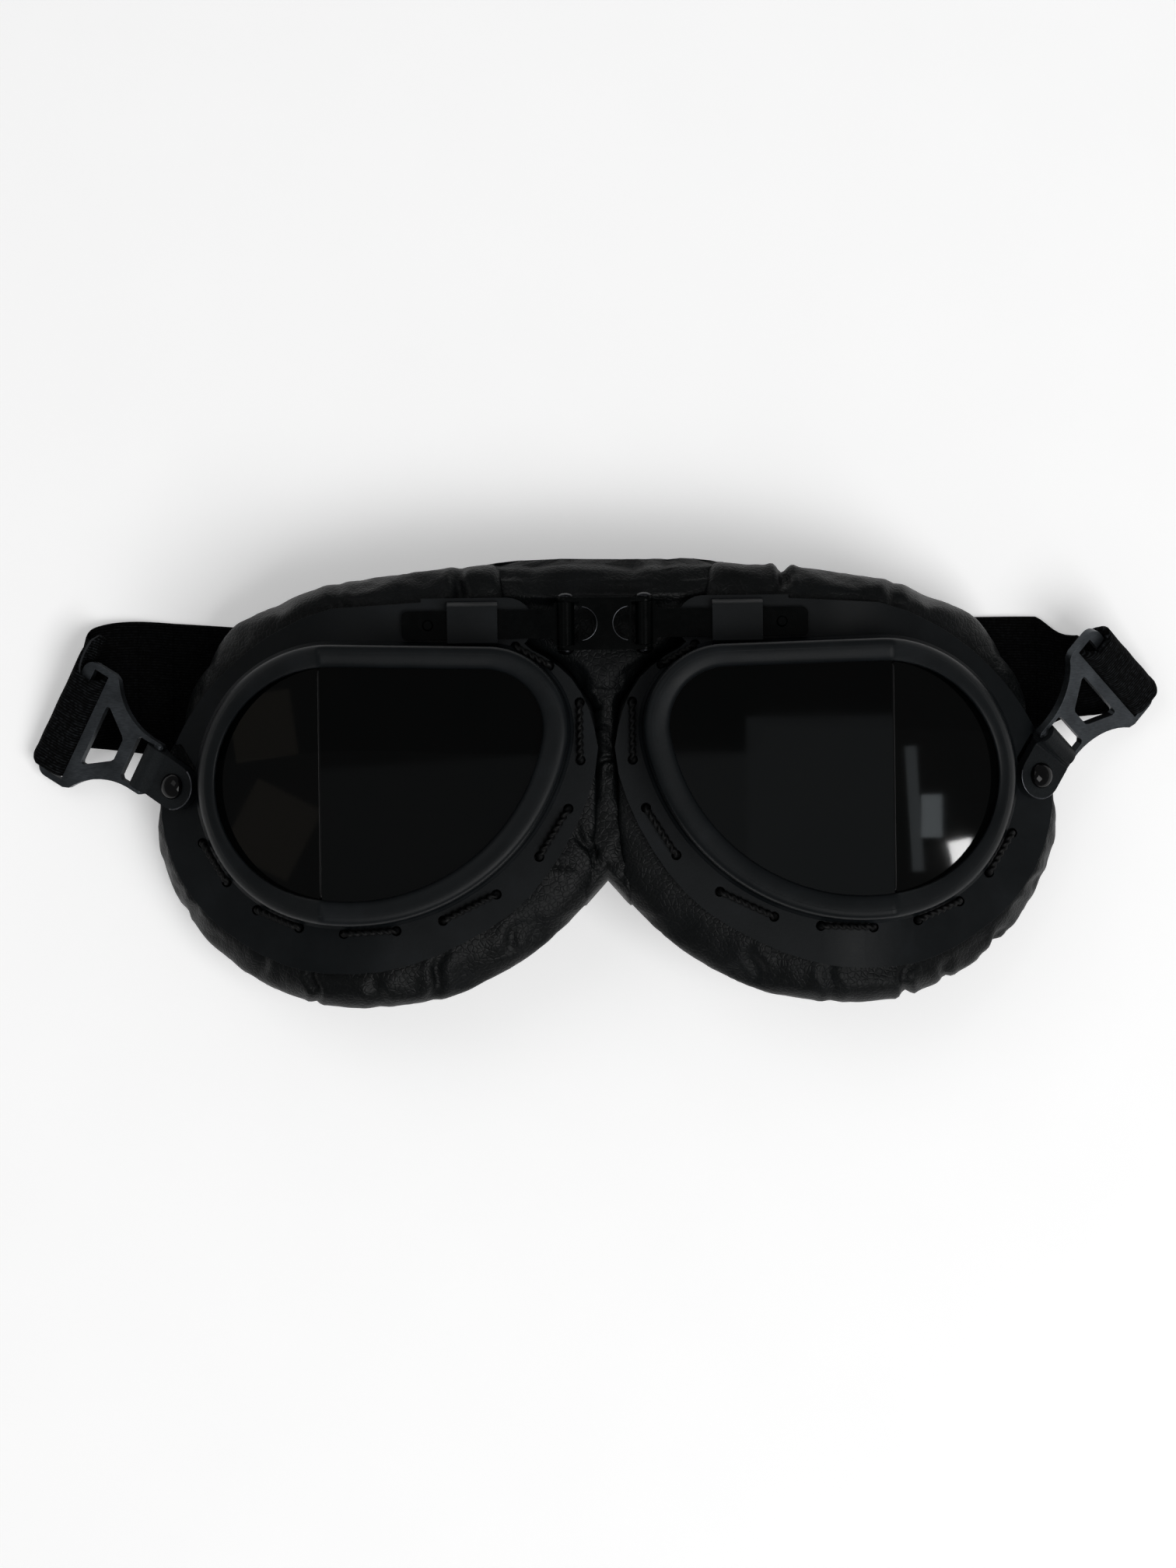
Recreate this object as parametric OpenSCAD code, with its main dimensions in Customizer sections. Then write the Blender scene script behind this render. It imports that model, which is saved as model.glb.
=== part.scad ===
// Split-lens riding goggles, lying face up: two moulded cups on a hinged bridge, with a head strap.
// Millimetres. +X is the wearer's left as seen from the front, +Y the brow, +Z out of the lenses.
// The origin is on the table under the middle of the bridge.

/* [Lens outline] */
// Middle to the centre of the temple arc
temple_x = 57.5; // [55:0.5:60]
// Radius of the temple arc
temple_r = 23.8; // [22.5:0.1:25]
// Radius of the nose arc
nose_r = 12; // [11:0.1:13]
// Radius of the long lower arc
lower_r = 40.5; // [39:0.5:43]
// Seam between front and side pane, past the temple arc's centre
seam_offset = 1.5; // [1:0.5:3]
// Thickness of the lens panes
lens_t = 2.2; // [1.6:0.1:2.6]

/* [Cup] */
// Height of the flange's top face above the table at the bridge
flange_z = 36.5; // [34:0.5:39]
// Thickness of the flange
flange_t = 2.2; // [1.8:0.1:2.6]
// Height of the lens face above the flange
lens_rise = 11; // [9:0.5:13]
// Slope of the side pane
side_slope = 39; // [36:1:42]
// Slope of the flange at the temples
wrap = 32; // [29:1:34]
// Height of the rim's crest above the lens
rim_lip = 2.6; // [2:0.1:3.2]
// Diameter of a lace hole
lace_hole = 2.1; // [1.9:0.1:2.4]
// Diameter of the lace
lace_d = 1.4; // [1.2:0.1:1.6]

/* [Cushion] */
// Thickness of the padding
pad_t = 14.6; // [13:0.2:16]
// Gap that the padding leaves for the strap behind it
strap_gap = 2.6; // [2.2:0.1:3.4]

/* [Bridge] */
// Middle to a hinge pin
pin_x = 8.1; // [7.6:0.1:8.6]
// Diameter of a hinge pin
pin_d = 1.8; // [1.4:0.1:2]
// Height of the bridge plate, brow to nose
bridge_h = 10.8; // [10:0.2:12]
// Sheet thickness of the bridge and the strap plates
plate_t = 1.2; // [0.9:0.1:1.3]
// Width of a strap plate
plate_w = 5.9; // [5:0.1:6.5]
// Middle to the outer end of a strap plate
plate_end = 42; // [40:0.5:43]

/* [Tab and buckle] */
// Thickness of one layer of the tab
tab_t = 1.2; // [1:0.1:1.3]
// Width of the tab
tab_w = 9.6; // [9:0.2:10]
// Rivet to the bar in the tab's fold
tab_reach = 7.7; // [7.2:0.1:8.6]
// Diameter of the rivet's domed cap
rivet_cap = 5.4; // [4.8:0.2:6]
// Thickness of the buckle
buckle_t = 1.8; // [1.4:0.1:2]
// Metal left outside the elastic's slot at each side
buckle_side = 1.3; // [1:0.1:1.8]
// Swing of the tab above the flange's slope line, on the -X and the +X side
tab_turn = [30.7, 55.3]; // [0:0.1:90]
// Twist of the tab between its rivet and its fold, on each side
tab_twist = [0, 17]; // [0:1:30]
// Lift of the buckle on its bar, on each side
buckle_lift = [8, 14]; // [0:1:30]

/* [Strap] */
// Width of the elastic
strap_w = 23.8; // [22:0.2:24]
// Thickness of the elastic
strap_t = 1.4; // [1:0.1:1.6]
// Height of the strap's middle line above the middle of the part, where its ends overlap
strap_y = 18.2; // [17:0.2:19]
// The same where the strap leaves the table, on the -X and the +X side
strap_rise = [22, 21.6]; // [20:0.2:23]

/* [Hidden] */
$fn = 48;

// Clearances
fit = 0.1;
run_fit = 0.06;
soft_gap = 0.25;
// How far a surface that ends inside its neighbour stays under the neighbour's face
seat = 0.04;

// Centres of the three arcs that make the lens outline, drawn for the +X cup
A = [temple_x, 0.5];
B = [temple_x - 32.5, 11.5];
ab = norm(B - A);
ab_dir = (B - A) / ab;
reach_a = lower_r - temple_r;
reach_b = lower_r - nose_r;
along = (reach_a * reach_a - reach_b * reach_b + ab * ab) / (2 * ab);
aside = sqrt(reach_a * reach_a - along * along);
C = A + along * ab_dir + aside * [ab_dir[1], -ab_dir[0]];
seam_x = temple_x + seam_offset;
// Turns at which one arc hands over to the next, going clockwise from the brow
top_turn = atan2(A[1] - B[1], A[0] - B[0]) + acos((nose_r - temple_r) / ab);
ac_turn = atan2(A[1] - C[1], A[0] - C[0]);
cb_raw = atan2(B[1] - C[1], B[0] - C[0]);
cb_turn = cb_raw > 0 ? cb_raw - 360 : cb_raw;
end_turn = top_turn - 360;
seam_top_turn = acos(seam_offset / temple_r);
seam_low_turn = -acos((seam_x - C[0]) / lower_r);

// A station is [centre x, centre y, radius, turn, kind]; kind 1 holds its point on the seam
function steps(a, b, n) = [for (i = [0:n]) a + (b - a) * i / n];
function on_arc(c, r, turns) = [for (t = turns) [c[0], c[1], r, t, 0]];
function brow_line(n) = [for (i = [0:n])
  let(k = i / n, c = B + (A - B) * k) [c[0], c[1], nose_r + (temple_r - nose_r) * k, end_turn, 0]];
STATIONS = concat(
  brow_line(4),
  [[A[0], A[1], temple_r, seam_top_turn, 1]],
  on_arc(A, temple_r, steps(seam_top_turn - 5, ac_turn, 22)),
  on_arc(C, lower_r, [for (k = [1, 2]) ac_turn + (seam_low_turn - ac_turn) * k / 3]),
  [[C[0], C[1], lower_r, seam_low_turn, 1]],
  on_arc(C, lower_r, steps(seam_low_turn - 2.5, cb_turn, 14)),
  on_arc(B, nose_r, [for (i = [1:9]) cb_turn + (end_turn - cb_turn) * i / 10]),
  on_arc(B, nose_r, [end_turn + 6])
);
// Point of a station at a distance d outside the lens opening
function at(s, d) = s[4] == 0
  ? [s[0] + (s[2] + d) * cos(s[3]), s[1] + (s[2] + d) * sin(s[3])]
  : [seam_x, s[1] + sign(sin(s[3])) * sqrt(pow(s[2] + d, 2) - pow(seam_x - s[0], 2))];
function outline(d) = [for (s = STATIONS) at(s, d)];
// How far along the brow line a station is, 0 at the nose end
function brow_share(s) = s[3] == end_turn ? (s[0] - B[0]) / (A[0] - B[0]) : 0;

// The flange is flat at the bridge and bends down to its slope at the temples
bend_x = temple_x - 1.5;
bend_r = 40;
bend_n = 8;
bend_in = bend_r * tan(wrap / 2);
bend_c = [bend_x - bend_in, flange_z - bend_r];
BEND = concat([[0, flange_z]],
  [for (i = [0:bend_n]) let(t = wrap * i / bend_n) bend_c + bend_r * [sin(t), cos(t)]],
  [[120, flange_z - (120 - bend_x) * tan(wrap)]]);
slope_drop = flange_t / cos(wrap);
function flange_top(x) = lookup(x, BEND);
function flange_under(x) = flange_top(x) - lookup(x, [[bend_c[0], flange_t], [bend_x + 12, slope_drop]]);
// The lens face is level up to the seam and slopes down past it
lens_z = flange_z + lens_rise;
function lens_face(x) = lens_z - max(0, x - seam_x) * tan(side_slope);

// Widths round the eye, by turn: the rim's wall, the flange and the padding's swell past the flange
RIM_W = [[91, 4.6], [50, 4.1], [20, 3.6], [-20, 3.6], [-50, 4.3], [-80, 4.9], [-168, 5.4],
  [-225, 4.9], [-270, 4.6]];
FLANGE_W = [[91, 12.3], [75, 9.9], [60, 8.7], [45, 8.2], [30, 8.7], [15, 9.9], [0, 11.5], [-10, 12.6],
  [-35, 13.8], [-60, 14.2], [-80, 15.3], [-97, 15], [-115, 14], [-130, 14], [-147, 12.8],
  [-165, 12.2], [-181, 10.4], [-195, 9.4], [-209, 8.6], [-225, 7.4], [-239, 6.8], [-252, 8],
  [-268, 14.9]];
SWELL = [[91, 4.5], [75, 4.5], [60, 5.8], [40, 3.2], [21, 0.4], [-8, 0.5], [-20, 1.9], [-40, 2.9],
  [-60, 4.1], [-76, 4.9], [-84, 6.1], [-100, 7], [-108, 8.2], [-132, 9.1], [-148, 11], [-158, 9],
  [-170, 3], [-190, 1.6], [-200, 0.4], [-258.7, 0.4], [-262.5, 8.9], [-268, 6.4]];
function width_at(s, table) = s[3] == end_turn
  ? lookup(-268, table) + (lookup(91, table) - lookup(-268, table)) * brow_share(s)
  : lookup(s[3], table);

// Rivet, on the flange's slope, past the temple arc
rivet_out = 8.1;
rivet_x = temple_x + temple_r + rivet_out;
rivet_y = 0.3;
rivet_shank = 2.4;
rivet_hole = rivet_shank + 2 * run_fit;
ear_r = 3.9;
rivet_foot = 0.6;

// Hardware at the bridge
bridge_y = 32.8;
knuckle_r = pin_d / 2 + run_fit + 0.85;
pin_z = flange_z + fit + knuckle_r - 0.2;
ear_t = 0.9;
knuckle_h = bridge_h - 2 * ear_t - 2 * fit;
plate_z = flange_z + fit;
keeper_in = 22.2;
keeper_out = 32.6;
keeper_wall = 1.1;
pip_d = 2.5;
pip_x = keeper_out + 2.75 + pip_d / 2;
flap_end = 14.8;

// Buckle, measured from the bar in the tab's fold
bar_r = 1.2;
eye_r = bar_r + run_fit + tab_t;
eye_z = tab_t + 0.15;
pad_h = 2 * tab_t + 0.15;
flat_end = tab_reach - 3;
near_half = tab_w / 2 + 1.2;
slot_half = strap_w / 2 + 0.4;
buckle_half = slot_half + buckle_side;
cross_in = 4.9;
hole_in = 7.8;
hole_out = 14.4;
elastic_in = 16.8;
elastic_out = elastic_in + 3.6;
outer_bar = elastic_out + 2.6;

function smooth(k) = k * k * (3 - 2 * k);
function mix(a, b, k) = a + (b - a) * k;

// Closed solid through rings of equal length; the rings run round and join up again
function ring_faces(rings, n) = [for (i = [0:rings - 1], j = [0:n - 1], h = [0, 1])
  let(a = i * n + j, b = i * n + (j + 1) % n,
      c = ((i + 1) % rings) * n + j, d = ((i + 1) % rings) * n + (j + 1) % n)
  h == 0 ? [a, b, d] : [a, d, c]];
module ring_loft(sections) {
  n = len(sections[0]);
  polyhedron([for (s = sections, p = s) p], ring_faces(len(sections), n), convexity = 8);
}
// Solid through a row of sections with a flat cap at each end
function row_faces(rows, n) = concat(
  [for (j = [1:n - 2]) [0, j, j + 1]],
  [for (i = [0:rows - 2], j = [0:n - 1], h = [0, 1])
    let(a = i * n + j, b = i * n + (j + 1) % n, c = a + n, d = b + n) h == 0 ? [a, c, d] : [a, d, b]],
  [for (j = [1:n - 2]) let(o = (rows - 1) * n) [o, o + j + 1, o + j]]);
module row_loft(sections) {
  n = len(sections[0]);
  polyhedron([for (s = sections, p = s) p], row_faces(len(sections), n), convexity = 6);
}

module on_side(side) {
  if (side < 0) mirror([1, 0, 0]) children();
  else children();
}

// Moulded rim: crest, bevel down to the lens, groove that holds the panes, wall through the flange
function rim_section(s) =
  let(w = width_at(s, RIM_W), lip = rim_lip,
      spec = [
        [0, 1, 0], [0.36 * w, lip - 0.2, 0], [0.68 * w, lip, 0], [0.93 * w, lip - 1, 0],
        [w, 0, 0], [w + 0.1, 1.2, 1], [w + 0.5, -0.7, 1], [3.3, -1.1, 1], [3.3, -1, 2],
        [2, -1, 2], [2, -lens_t - 1.1, 0], [0.3, -lens_t - 1.1, 0], [0.3, -lens_t - fit, 0],
        [1.4, -lens_t - fit, 0], [1.4, fit, 0], [0, fit, 0]])
  [for (q = spec) let(p = at(s, q[0]))
    [p[0], p[1], q[1] + (q[2] == 0 ? lens_face(p[0]) : q[2] == 1 ? flange_top(p[0]) : flange_under(p[0]))]];

// Holes of each stitch: arc, turn, and share of the way from the rim to the flange's edge
LACE_TURNS = [
  [["nose", -249, 0.41], ["nose", -223.5, 0.6]], [["nose", -194.6, 0.72], ["low", -165.9, 0.48]],
  [["low", -154, 0.59], ["low", -140.7, 0.56]], [["low", -127.2, 0.44], ["low", -112.8, 0.33]],
  [["low", -101.1, 0.22], ["low", -87.9, 0.18]], [["low", -76.4, 0.19], ["temple", -59.3, 0.22]],
  [["temple", -42.8, 0.2], ["temple", -24.2, 0.22]]];
function lace_point(q) =
  let(c = q[0] == "nose" ? B : q[0] == "low" ? C : A,
      r = q[0] == "nose" ? nose_r : q[0] == "low" ? lower_r : temple_r)
  at([c[0], c[1], r, q[1], 0], mix(lookup(q[1], RIM_W), lookup(q[1], FLANGE_W), q[2]));
LACE_STITCHES = [for (st = LACE_TURNS) [lace_point(st[0]), lace_point(st[1])]];

module flange_plan() {
  difference() {
    union() {
      polygon([for (s = STATIONS) at(s, width_at(s, FLANGE_W))]);
      polygon(concat([[38, 24], [38, 38.4]],
        [for (t = [90:15:270]) [flap_end + 5.4, 33] + 5.4 * [cos(t), sin(t)]], [[24, 24]]));
      translate([rivet_x, rivet_y]) circle(ear_r);
    }
    polygon(outline(2.6));
    difference() {
      polygon([[rivet_x - 4, rivet_y + 3.2], [rivet_x - 0.6, rivet_y + 8.8], [rivet_x + 9, rivet_y + 8],
        [rivet_x + 9, rivet_y - 1.2], [rivet_x + 3.6, rivet_y - 1.2]]);
      translate([rivet_x, rivet_y]) circle(ear_r);
    }
  }
}
module flange_band() {
  rotate([90, 0, 0]) linear_extrude(120, center = true)
    polygon(concat(
      [for (p = BEND) p],
      [for (i = [len(BEND) - 1:-1:0]) [BEND[i][0], flange_under(BEND[i][0])]]));
}
module keeper() {
  h = plate_t + fit * 3 + keeper_wall;
  w = plate_w + 2.4 * keeper_wall;
  translate([0, bridge_y, flange_z])
    difference() {
      rotate([90, 0, 90]) translate([0, 0, keeper_in]) linear_extrude(keeper_out - keeper_in)
        polygon([[-w / 2 - 0.8, -0.4], [-w / 2, h - 0.5], [-w / 2 + 0.5, h], [w / 2 - 0.5, h],
          [w / 2, h - 0.5], [w / 2 + 0.8, -0.4]]);
      translate([keeper_in - 1, -plate_w / 2 - fit, 0])
        cube([keeper_out - keeper_in + 2, plate_w + 2 * fit, plate_t + fit * 3]);
    }
}
module at_rivet() {
  translate([rivet_x, rivet_y, flange_top(rivet_x)]) rotate([0, wrap, 0]) children();
}
module cup() {
  difference() {
    union() {
      intersection() {
        linear_extrude(100) flange_plan();
        flange_band();
      }
      ring_loft([for (s = STATIONS) rim_section(s)]);
      keeper();
    }
    for (st = LACE_STITCHES, p = st)
      translate([p[0], p[1], flange_under(p[0]) - 3]) cylinder(h = 8, d = lace_hole);
    at_rivet() {
      translate([0, 0, -6]) cylinder(h = 12, d = rivet_hole);
      translate([0, 0, -flange_t - 3]) cylinder(h = 3 + rivet_foot + fit, d = rivet_cap - 0.6);
    }
  }
}

module lens_front() {
  translate([0, 0, lens_z - lens_t]) linear_extrude(lens_t) intersection() {
    polygon(outline(1.3));
    translate([0, -60]) square([seam_x - fit / 2, 120]);
  }
}
module lens_side() {
  intersection() {
    linear_extrude(100) intersection() {
      polygon(outline(1.3));
      translate([seam_x + fit / 2, -60]) square([60, 120]);
    }
    rotate([90, 0, 0]) linear_extrude(120, center = true)
      polygon([[seam_x, lens_z], [seam_x + 40, lens_face(seam_x + 40)],
        [seam_x + 40, lens_face(seam_x + 40) - lens_t], [seam_x, lens_z - lens_t]]);
  }
}

// Padding: flat where it meets the flange, swelling past it, crowned towards the face
middle_gap = 2;
nose_lean = tan(13);
rest_cut = 0.5;
function pad_back(x, y) = max(flange_under(x) - pad_t,
  lookup(y, [[1, -rest_cut], [6, strap_gap], [36, strap_gap], [40, -rest_cut]]));
function pad_point(s, d, k) =
  let(p = at(s, d), z = mix(flange_under(p[0]) - soft_gap, pad_back(p[0], p[1]), k))
  [max(p[0], middle_gap + (flange_z - flange_t - z) * nose_lean), p[1], z];
function pad_section(s) =
  let(w = width_at(s, FLANGE_W), b = width_at(s, SWELL), c = 4.3)
  [pad_point(s, c, 0), pad_point(s, w - 0.3, 0), pad_point(s, w + 0.72 * b, 0.16),
    pad_point(s, w + b, 0.42), pad_point(s, w + 0.9 * b, 0.72), pad_point(s, mix(c, w + b, 0.84), 0.95),
    pad_point(s, mix(c, w + b, 0.6), 1), pad_point(s, mix(c, w + b, 0.25), 1),
    pad_point(s, c + 0.2, 0.8), pad_point(s, c + 0.9, 0.4)];
module cushion() {
  difference() {
    ring_loft([for (s = STATIONS) pad_section(s)]);
    translate([-150, -150, -10]) cube([300, 300, 10]);
  }
}

// Leather over the brow and down the nose: place along its length, share of the width between the
// cushions, and how far its outer and inner face lie under the flange's top
BRIDGE_ROWS = [
  [-19.6, 0.9, 9.5, 15], [-18.5, 1, 6.2, 16.7], [-12, 1, 4.8, 17.2], [0, 1, 4.6, 17.2],
  [10, 1, 4.2, 17.2], [14, 1, 3.6, 17.2], [17, 1, 3, 17.1], [20, 1, 2.6, 17], [22, 1, 2.5, 17],
  [24, 1, 2.5, 16.9], [26, 1, 2.5, 16.8], [28, 1, 2.5, 16.8], [30, 1, 2.5, 16.7], [33, 1, 2.6, 16.6],
  [37, 1, 2.5, 16.4], [39, 1, 1.8, 16], [42, 1, 2.6, 15.4], [44.4, 0.95, 4.6, 14.2],
  [45.7, 0.76, 7.2, 12.6], [46.3, 0.45, 9.2, 11]];
side_gap = 0.45;
// Edge of the padding beside the nose and under the brow, as height above the middle and distance
PAD_EDGE = [for (t = [-180:-4:-268])
  let(p = at([B[0], B[1], nose_r, t, 0], lookup(t, FLANGE_W) + lookup(t, SWELL))) [p[1], p[0]]];
function bridge_half(y, z) =
  max(lookup(y, PAD_EDGE), middle_gap + (flange_z - flange_t - z) * nose_lean) - side_gap;
function pillow(y, share, top, low, n) = [for (i = [0:n - 1])
  let(t = -360 * i / n, c = cos(t), sn = sin(t),
      z = (top + low) / 2 + (top - low) / 2 * sign(sn) * pow(abs(sn), 0.6))
  [share * bridge_half(y, z) * sign(c) * pow(abs(c), 0.6), y, z]];
module cushion_bridge() {
  color([0.13, 0.13, 0.14])
    row_loft([for (r = BRIDGE_ROWS) pillow(r[0], r[1], flange_z - r[2], flange_z - r[3], 20)]);
}

// Lace: over the flange between the two holes of a stitch, under it between stitches
lace_low = 1.6;
function steep(x) = (flange_top(x) - flange_under(x)) / flange_t;
// Share of the way along a stitch, and height over the flange, or -1 for the end under it
LACE_STEPS = [[0, -1], [0, 0.45], [0.15, 1], [0.5, 1.05], [0.85, 1], [1, 0.45], [1, -1]];
function lace_route(st) = [for (q = LACE_STEPS) let(p = mix(st[0], st[1], q[0]))
  [p[0], p[1], q[1] < 0 ? flange_under(p[0]) - lace_low
    : flange_top(p[0]) + q[1] * steep(p[0]) * (lace_d + 0.2) / 1.6]];
function unit(v) = v / norm(v);
// Ring of a tube across the way d; u points across the tube's own plane
function tube_ring(p, d, u, r, n) =
  let(v = unit(cross(u, d)))
  [for (i = [0:n - 1]) p + r * (cos(360 * i / n) * u + sin(360 * i / n) * v)];
module stitch_tube(route, r) {
  last = len(route) - 1;
  u = unit(cross([0, 0, 1], route[last] - route[0]));
  row_loft([for (i = [0:last]) tube_ring(route[i],
    unit(route[min(i + 1, last)] - route[max(i - 1, 0)]), u, r, 8)]);
}
module lace() {
  for (st = LACE_STITCHES) stitch_tube(lace_route(st), lace_d / 2);
}

// Bridge plate: a channel whose two flanges carry the hinge pins, with a window at each side
window_r = 3.55;
module bridge_plate() {
  color([0.09, 0.09, 0.09]) translate([0, bridge_y, 0]) {
    web_z = pin_z + knuckle_r - plate_t;
    difference() {
      translate([-pin_x + knuckle_r + 0.9, -bridge_h / 2, web_z])
        cube([2 * (pin_x - knuckle_r - 0.9), bridge_h, plate_t]);
      for (side = [-1, 1]) intersection() {
        translate([side * (window_r + 1.6), 0, web_z - 1]) cylinder(h = plate_t + 2, r = window_r);
        translate([side > 0 ? 1.6 : -1.6 - window_r, -5, web_z - 1])
          cube([window_r - 0.2, 10, plate_t + 2]);
      }
    }
    for (e = [-1, 1]) translate([0, e * (bridge_h - ear_t) / 2 + ear_t / 2, 0])
      rotate([90, 0, 0]) linear_extrude(ear_t) difference() {
        union() {
          translate([-pin_x, web_z - 1.2]) square([2 * pin_x, plate_t + 1.2]);
          for (side = [-1, 1]) translate([side * pin_x, pin_z]) circle(knuckle_r);
        }
        for (side = [-1, 1]) translate([side * pin_x, pin_z]) circle(d = pin_d + 2 * run_fit);
      }
  }
}
module hinge_pin() {
  head_h = 0.9;
  color([0.35, 0.35, 0.36]) translate([pin_x, bridge_y, pin_z]) rotate([90, 0, 0]) {
    cylinder(h = bridge_h + 2 * fit, d = pin_d, center = true);
    for (e = [0, 180]) rotate([e, 0, 0]) translate([0, 0, bridge_h / 2 + fit]) rotate_extrude()
      polygon(concat([[0, 0]], [for (t = [0:15:90]) [1.7 * cos(t), head_h * sin(t)]]));
  }
}

// Strap plate: a rolled knuckle on the pin, a T head, and a tongue with a raised pip
end_corner = 1.2;
module strap_plate() {
  neck_x = pin_x + knuckle_r + 0.2;
  color([0.09, 0.09, 0.09]) difference() {
    union() {
      translate([pin_x, bridge_y, pin_z]) rotate([90, 0, 0])
        cylinder(h = knuckle_h, r = knuckle_r, center = true);
      translate([pin_x, bridge_y - knuckle_h / 2, plate_z])
        cube([knuckle_r + 0.6, knuckle_h, plate_t]);
      translate([0, 0, plate_z]) linear_extrude(plate_t) difference() {
        union() {
          translate([pin_x + 1, bridge_y - plate_w / 2])
            square([plate_end - end_corner - pin_x - 1, plate_w]);
          translate([plate_end - end_corner - 0.1, bridge_y + end_corner - plate_w / 2])
            square([end_corner + 0.1, plate_w - 2 * end_corner]);
          for (e = [-1, 1])
            translate([plate_end - end_corner, bridge_y + e * (plate_w / 2 - end_corner)]) circle(end_corner);
          translate([neck_x - 0.4, bridge_y - plate_w / 2 - 0.9]) square([1.5, plate_w + 1.8]);
        }
        for (e = [-1, 1])
          translate([neck_x + 1.3, bridge_y + e * (plate_w / 2 + 1)]) circle(0.95);
      }
      translate([pip_x, bridge_y, plate_z + plate_t - 0.2]) cylinder(h = 0.9, d1 = pip_d, d2 = pip_d - 0.8);
    }
    translate([pin_x, bridge_y, pin_z]) rotate([90, 0, 0])
      cylinder(h = 40, d = pin_d + 2 * run_fit, center = true);
  }
}

module rivet() {
  color([0.05, 0.05, 0.06]) at_rivet() {
    cap_z = 2 * tab_t + 0.15 + fit;
    translate([0, 0, -flange_t]) cylinder(h = flange_t + cap_z + 0.2, d = rivet_shank);
    translate([0, 0, -flange_t]) cylinder(h = rivet_foot, d = rivet_cap - 0.8);
    translate([0, 0, cap_z]) rotate_extrude()
      polygon(concat([[0, 0]], [for (t = [0:10:90]) [rivet_cap / 2 * cos(t), 1.7 * sin(t)]]));
  }
}

// Frames that follow the tab from the rivet to the bar, and the buckle on the bar
module at_tab(i) {
  at_rivet() rotate([0, 0, tab_turn[i]]) children();
}
module at_bar(i) {
  at_tab(i) translate([tab_reach, 0, eye_z]) rotate([tab_twist[i], 0, 0]) children();
}
module at_buckle(i) {
  at_bar(i) rotate([0, -buckle_lift[i], 0]) children();
}
// Sections of the tab's waist, which twists and thickens from the flat end to the fold
waist_end = 0.9;
function waist_section(i, k) =
  let(f = smooth(k), a = tab_twist[i] * f, z = mix((pad_h + fit) / 2, eye_z, k),
      h = mix((pad_h - fit) / 2 - seat, eye_r - 0.35, f), w = tab_w / 2 - seat,
      x = mix(flat_end - 0.3, tab_reach - waist_end, k))
  [for (q = [[-w, -h], [w, -h], [w, h], [-w, h]])
    [x, q[0] * cos(a) - q[1] * sin(a), z + q[0] * sin(a) + q[1] * cos(a)]];
module tab(i) {
  color([0.17, 0.17, 0.18]) {
    at_tab(i) difference() {
      translate([0, 0, fit]) linear_extrude(pad_h - fit) union() {
        circle(tab_w / 2);
        translate([0, -tab_w / 2]) square([flat_end, tab_w]);
      }
      translate([0, 0, -2]) cylinder(h = 8, d = rivet_hole);
    }
    difference() {
      union() {
        at_tab(i) row_loft([for (k = steps(0, 1, 5)) waist_section(i, k)]);
        at_bar(i) rotate([90, 0, 0]) cylinder(h = tab_w, r = eye_r, center = true);
      }
      at_bar(i) rotate([90, 0, 0]) cylinder(h = 30, r = bar_r + run_fit, center = true);
    }
  }
}

// Points on a shallow arc from p to q that bows to the left of the way by sag
function bow(p, q, sag, n) =
  let(c = norm(q - p) / 2, r = (c * c + sag * sag) / (2 * sag), u = unit(q - p),
      side = [-u[1], u[0]], m = (p + q) / 2 + side * (sag - r), half = asin(c / r))
  [for (i = [0:n]) m + r * (cos(-half + 2 * half * i / n) * side - sin(-half + 2 * half * i / n) * -u)];
module buckle(i) {
  wide = 14.8;
  half = concat(
    bow([1, near_half], [wide - 0.4, buckle_half - 0.6], -2.1, 10),
    [[wide + 1, buckle_half]],
    [for (t = [90:-15:0]) [outer_bar - 2.4, buckle_half - 2.4] + 2.4 * [cos(t), sin(t)]]);
  color([0.42, 0.43, 0.45]) at_buckle(i) {
    translate([0, 0, -buckle_t / 2]) linear_extrude(buckle_t) difference() {
      polygon(concat([[-1.3, near_half - 0.4], [-0.6, near_half]], half,
        [for (k = [len(half) - 1:-1:0]) [half[k][0], -half[k][1]]], [[-0.6, -near_half], [-1.3, 0.4 - near_half]]));
      polygon([[-2, -tab_w / 2 - 0.25], [cross_in - 0.6, -tab_w / 2 - 0.25], [cross_in, -tab_w / 2 + 0.4],
        [cross_in, tab_w / 2 - 0.4], [cross_in - 0.6, tab_w / 2 + 0.25], [-2, tab_w / 2 + 0.25]]);
      polygon([[hole_in, -2.3], [hole_in + 0.5, -3], [hole_out - 0.9, -6.8], [hole_out - 0.2, -6.8],
        [hole_out, -6.2], [hole_out, 6.2], [hole_out - 0.2, 6.8], [hole_out - 0.9, 6.8],
        [hole_in + 0.5, 3], [hole_in, 2.3]]);
      translate([elastic_in, -slot_half]) square([elastic_out - elastic_in, 2 * slot_half]);
    }
    rotate([90, 0, 0]) cylinder(h = 2 * near_half - 0.8, r = bar_r, center = true);
  }
}

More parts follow.
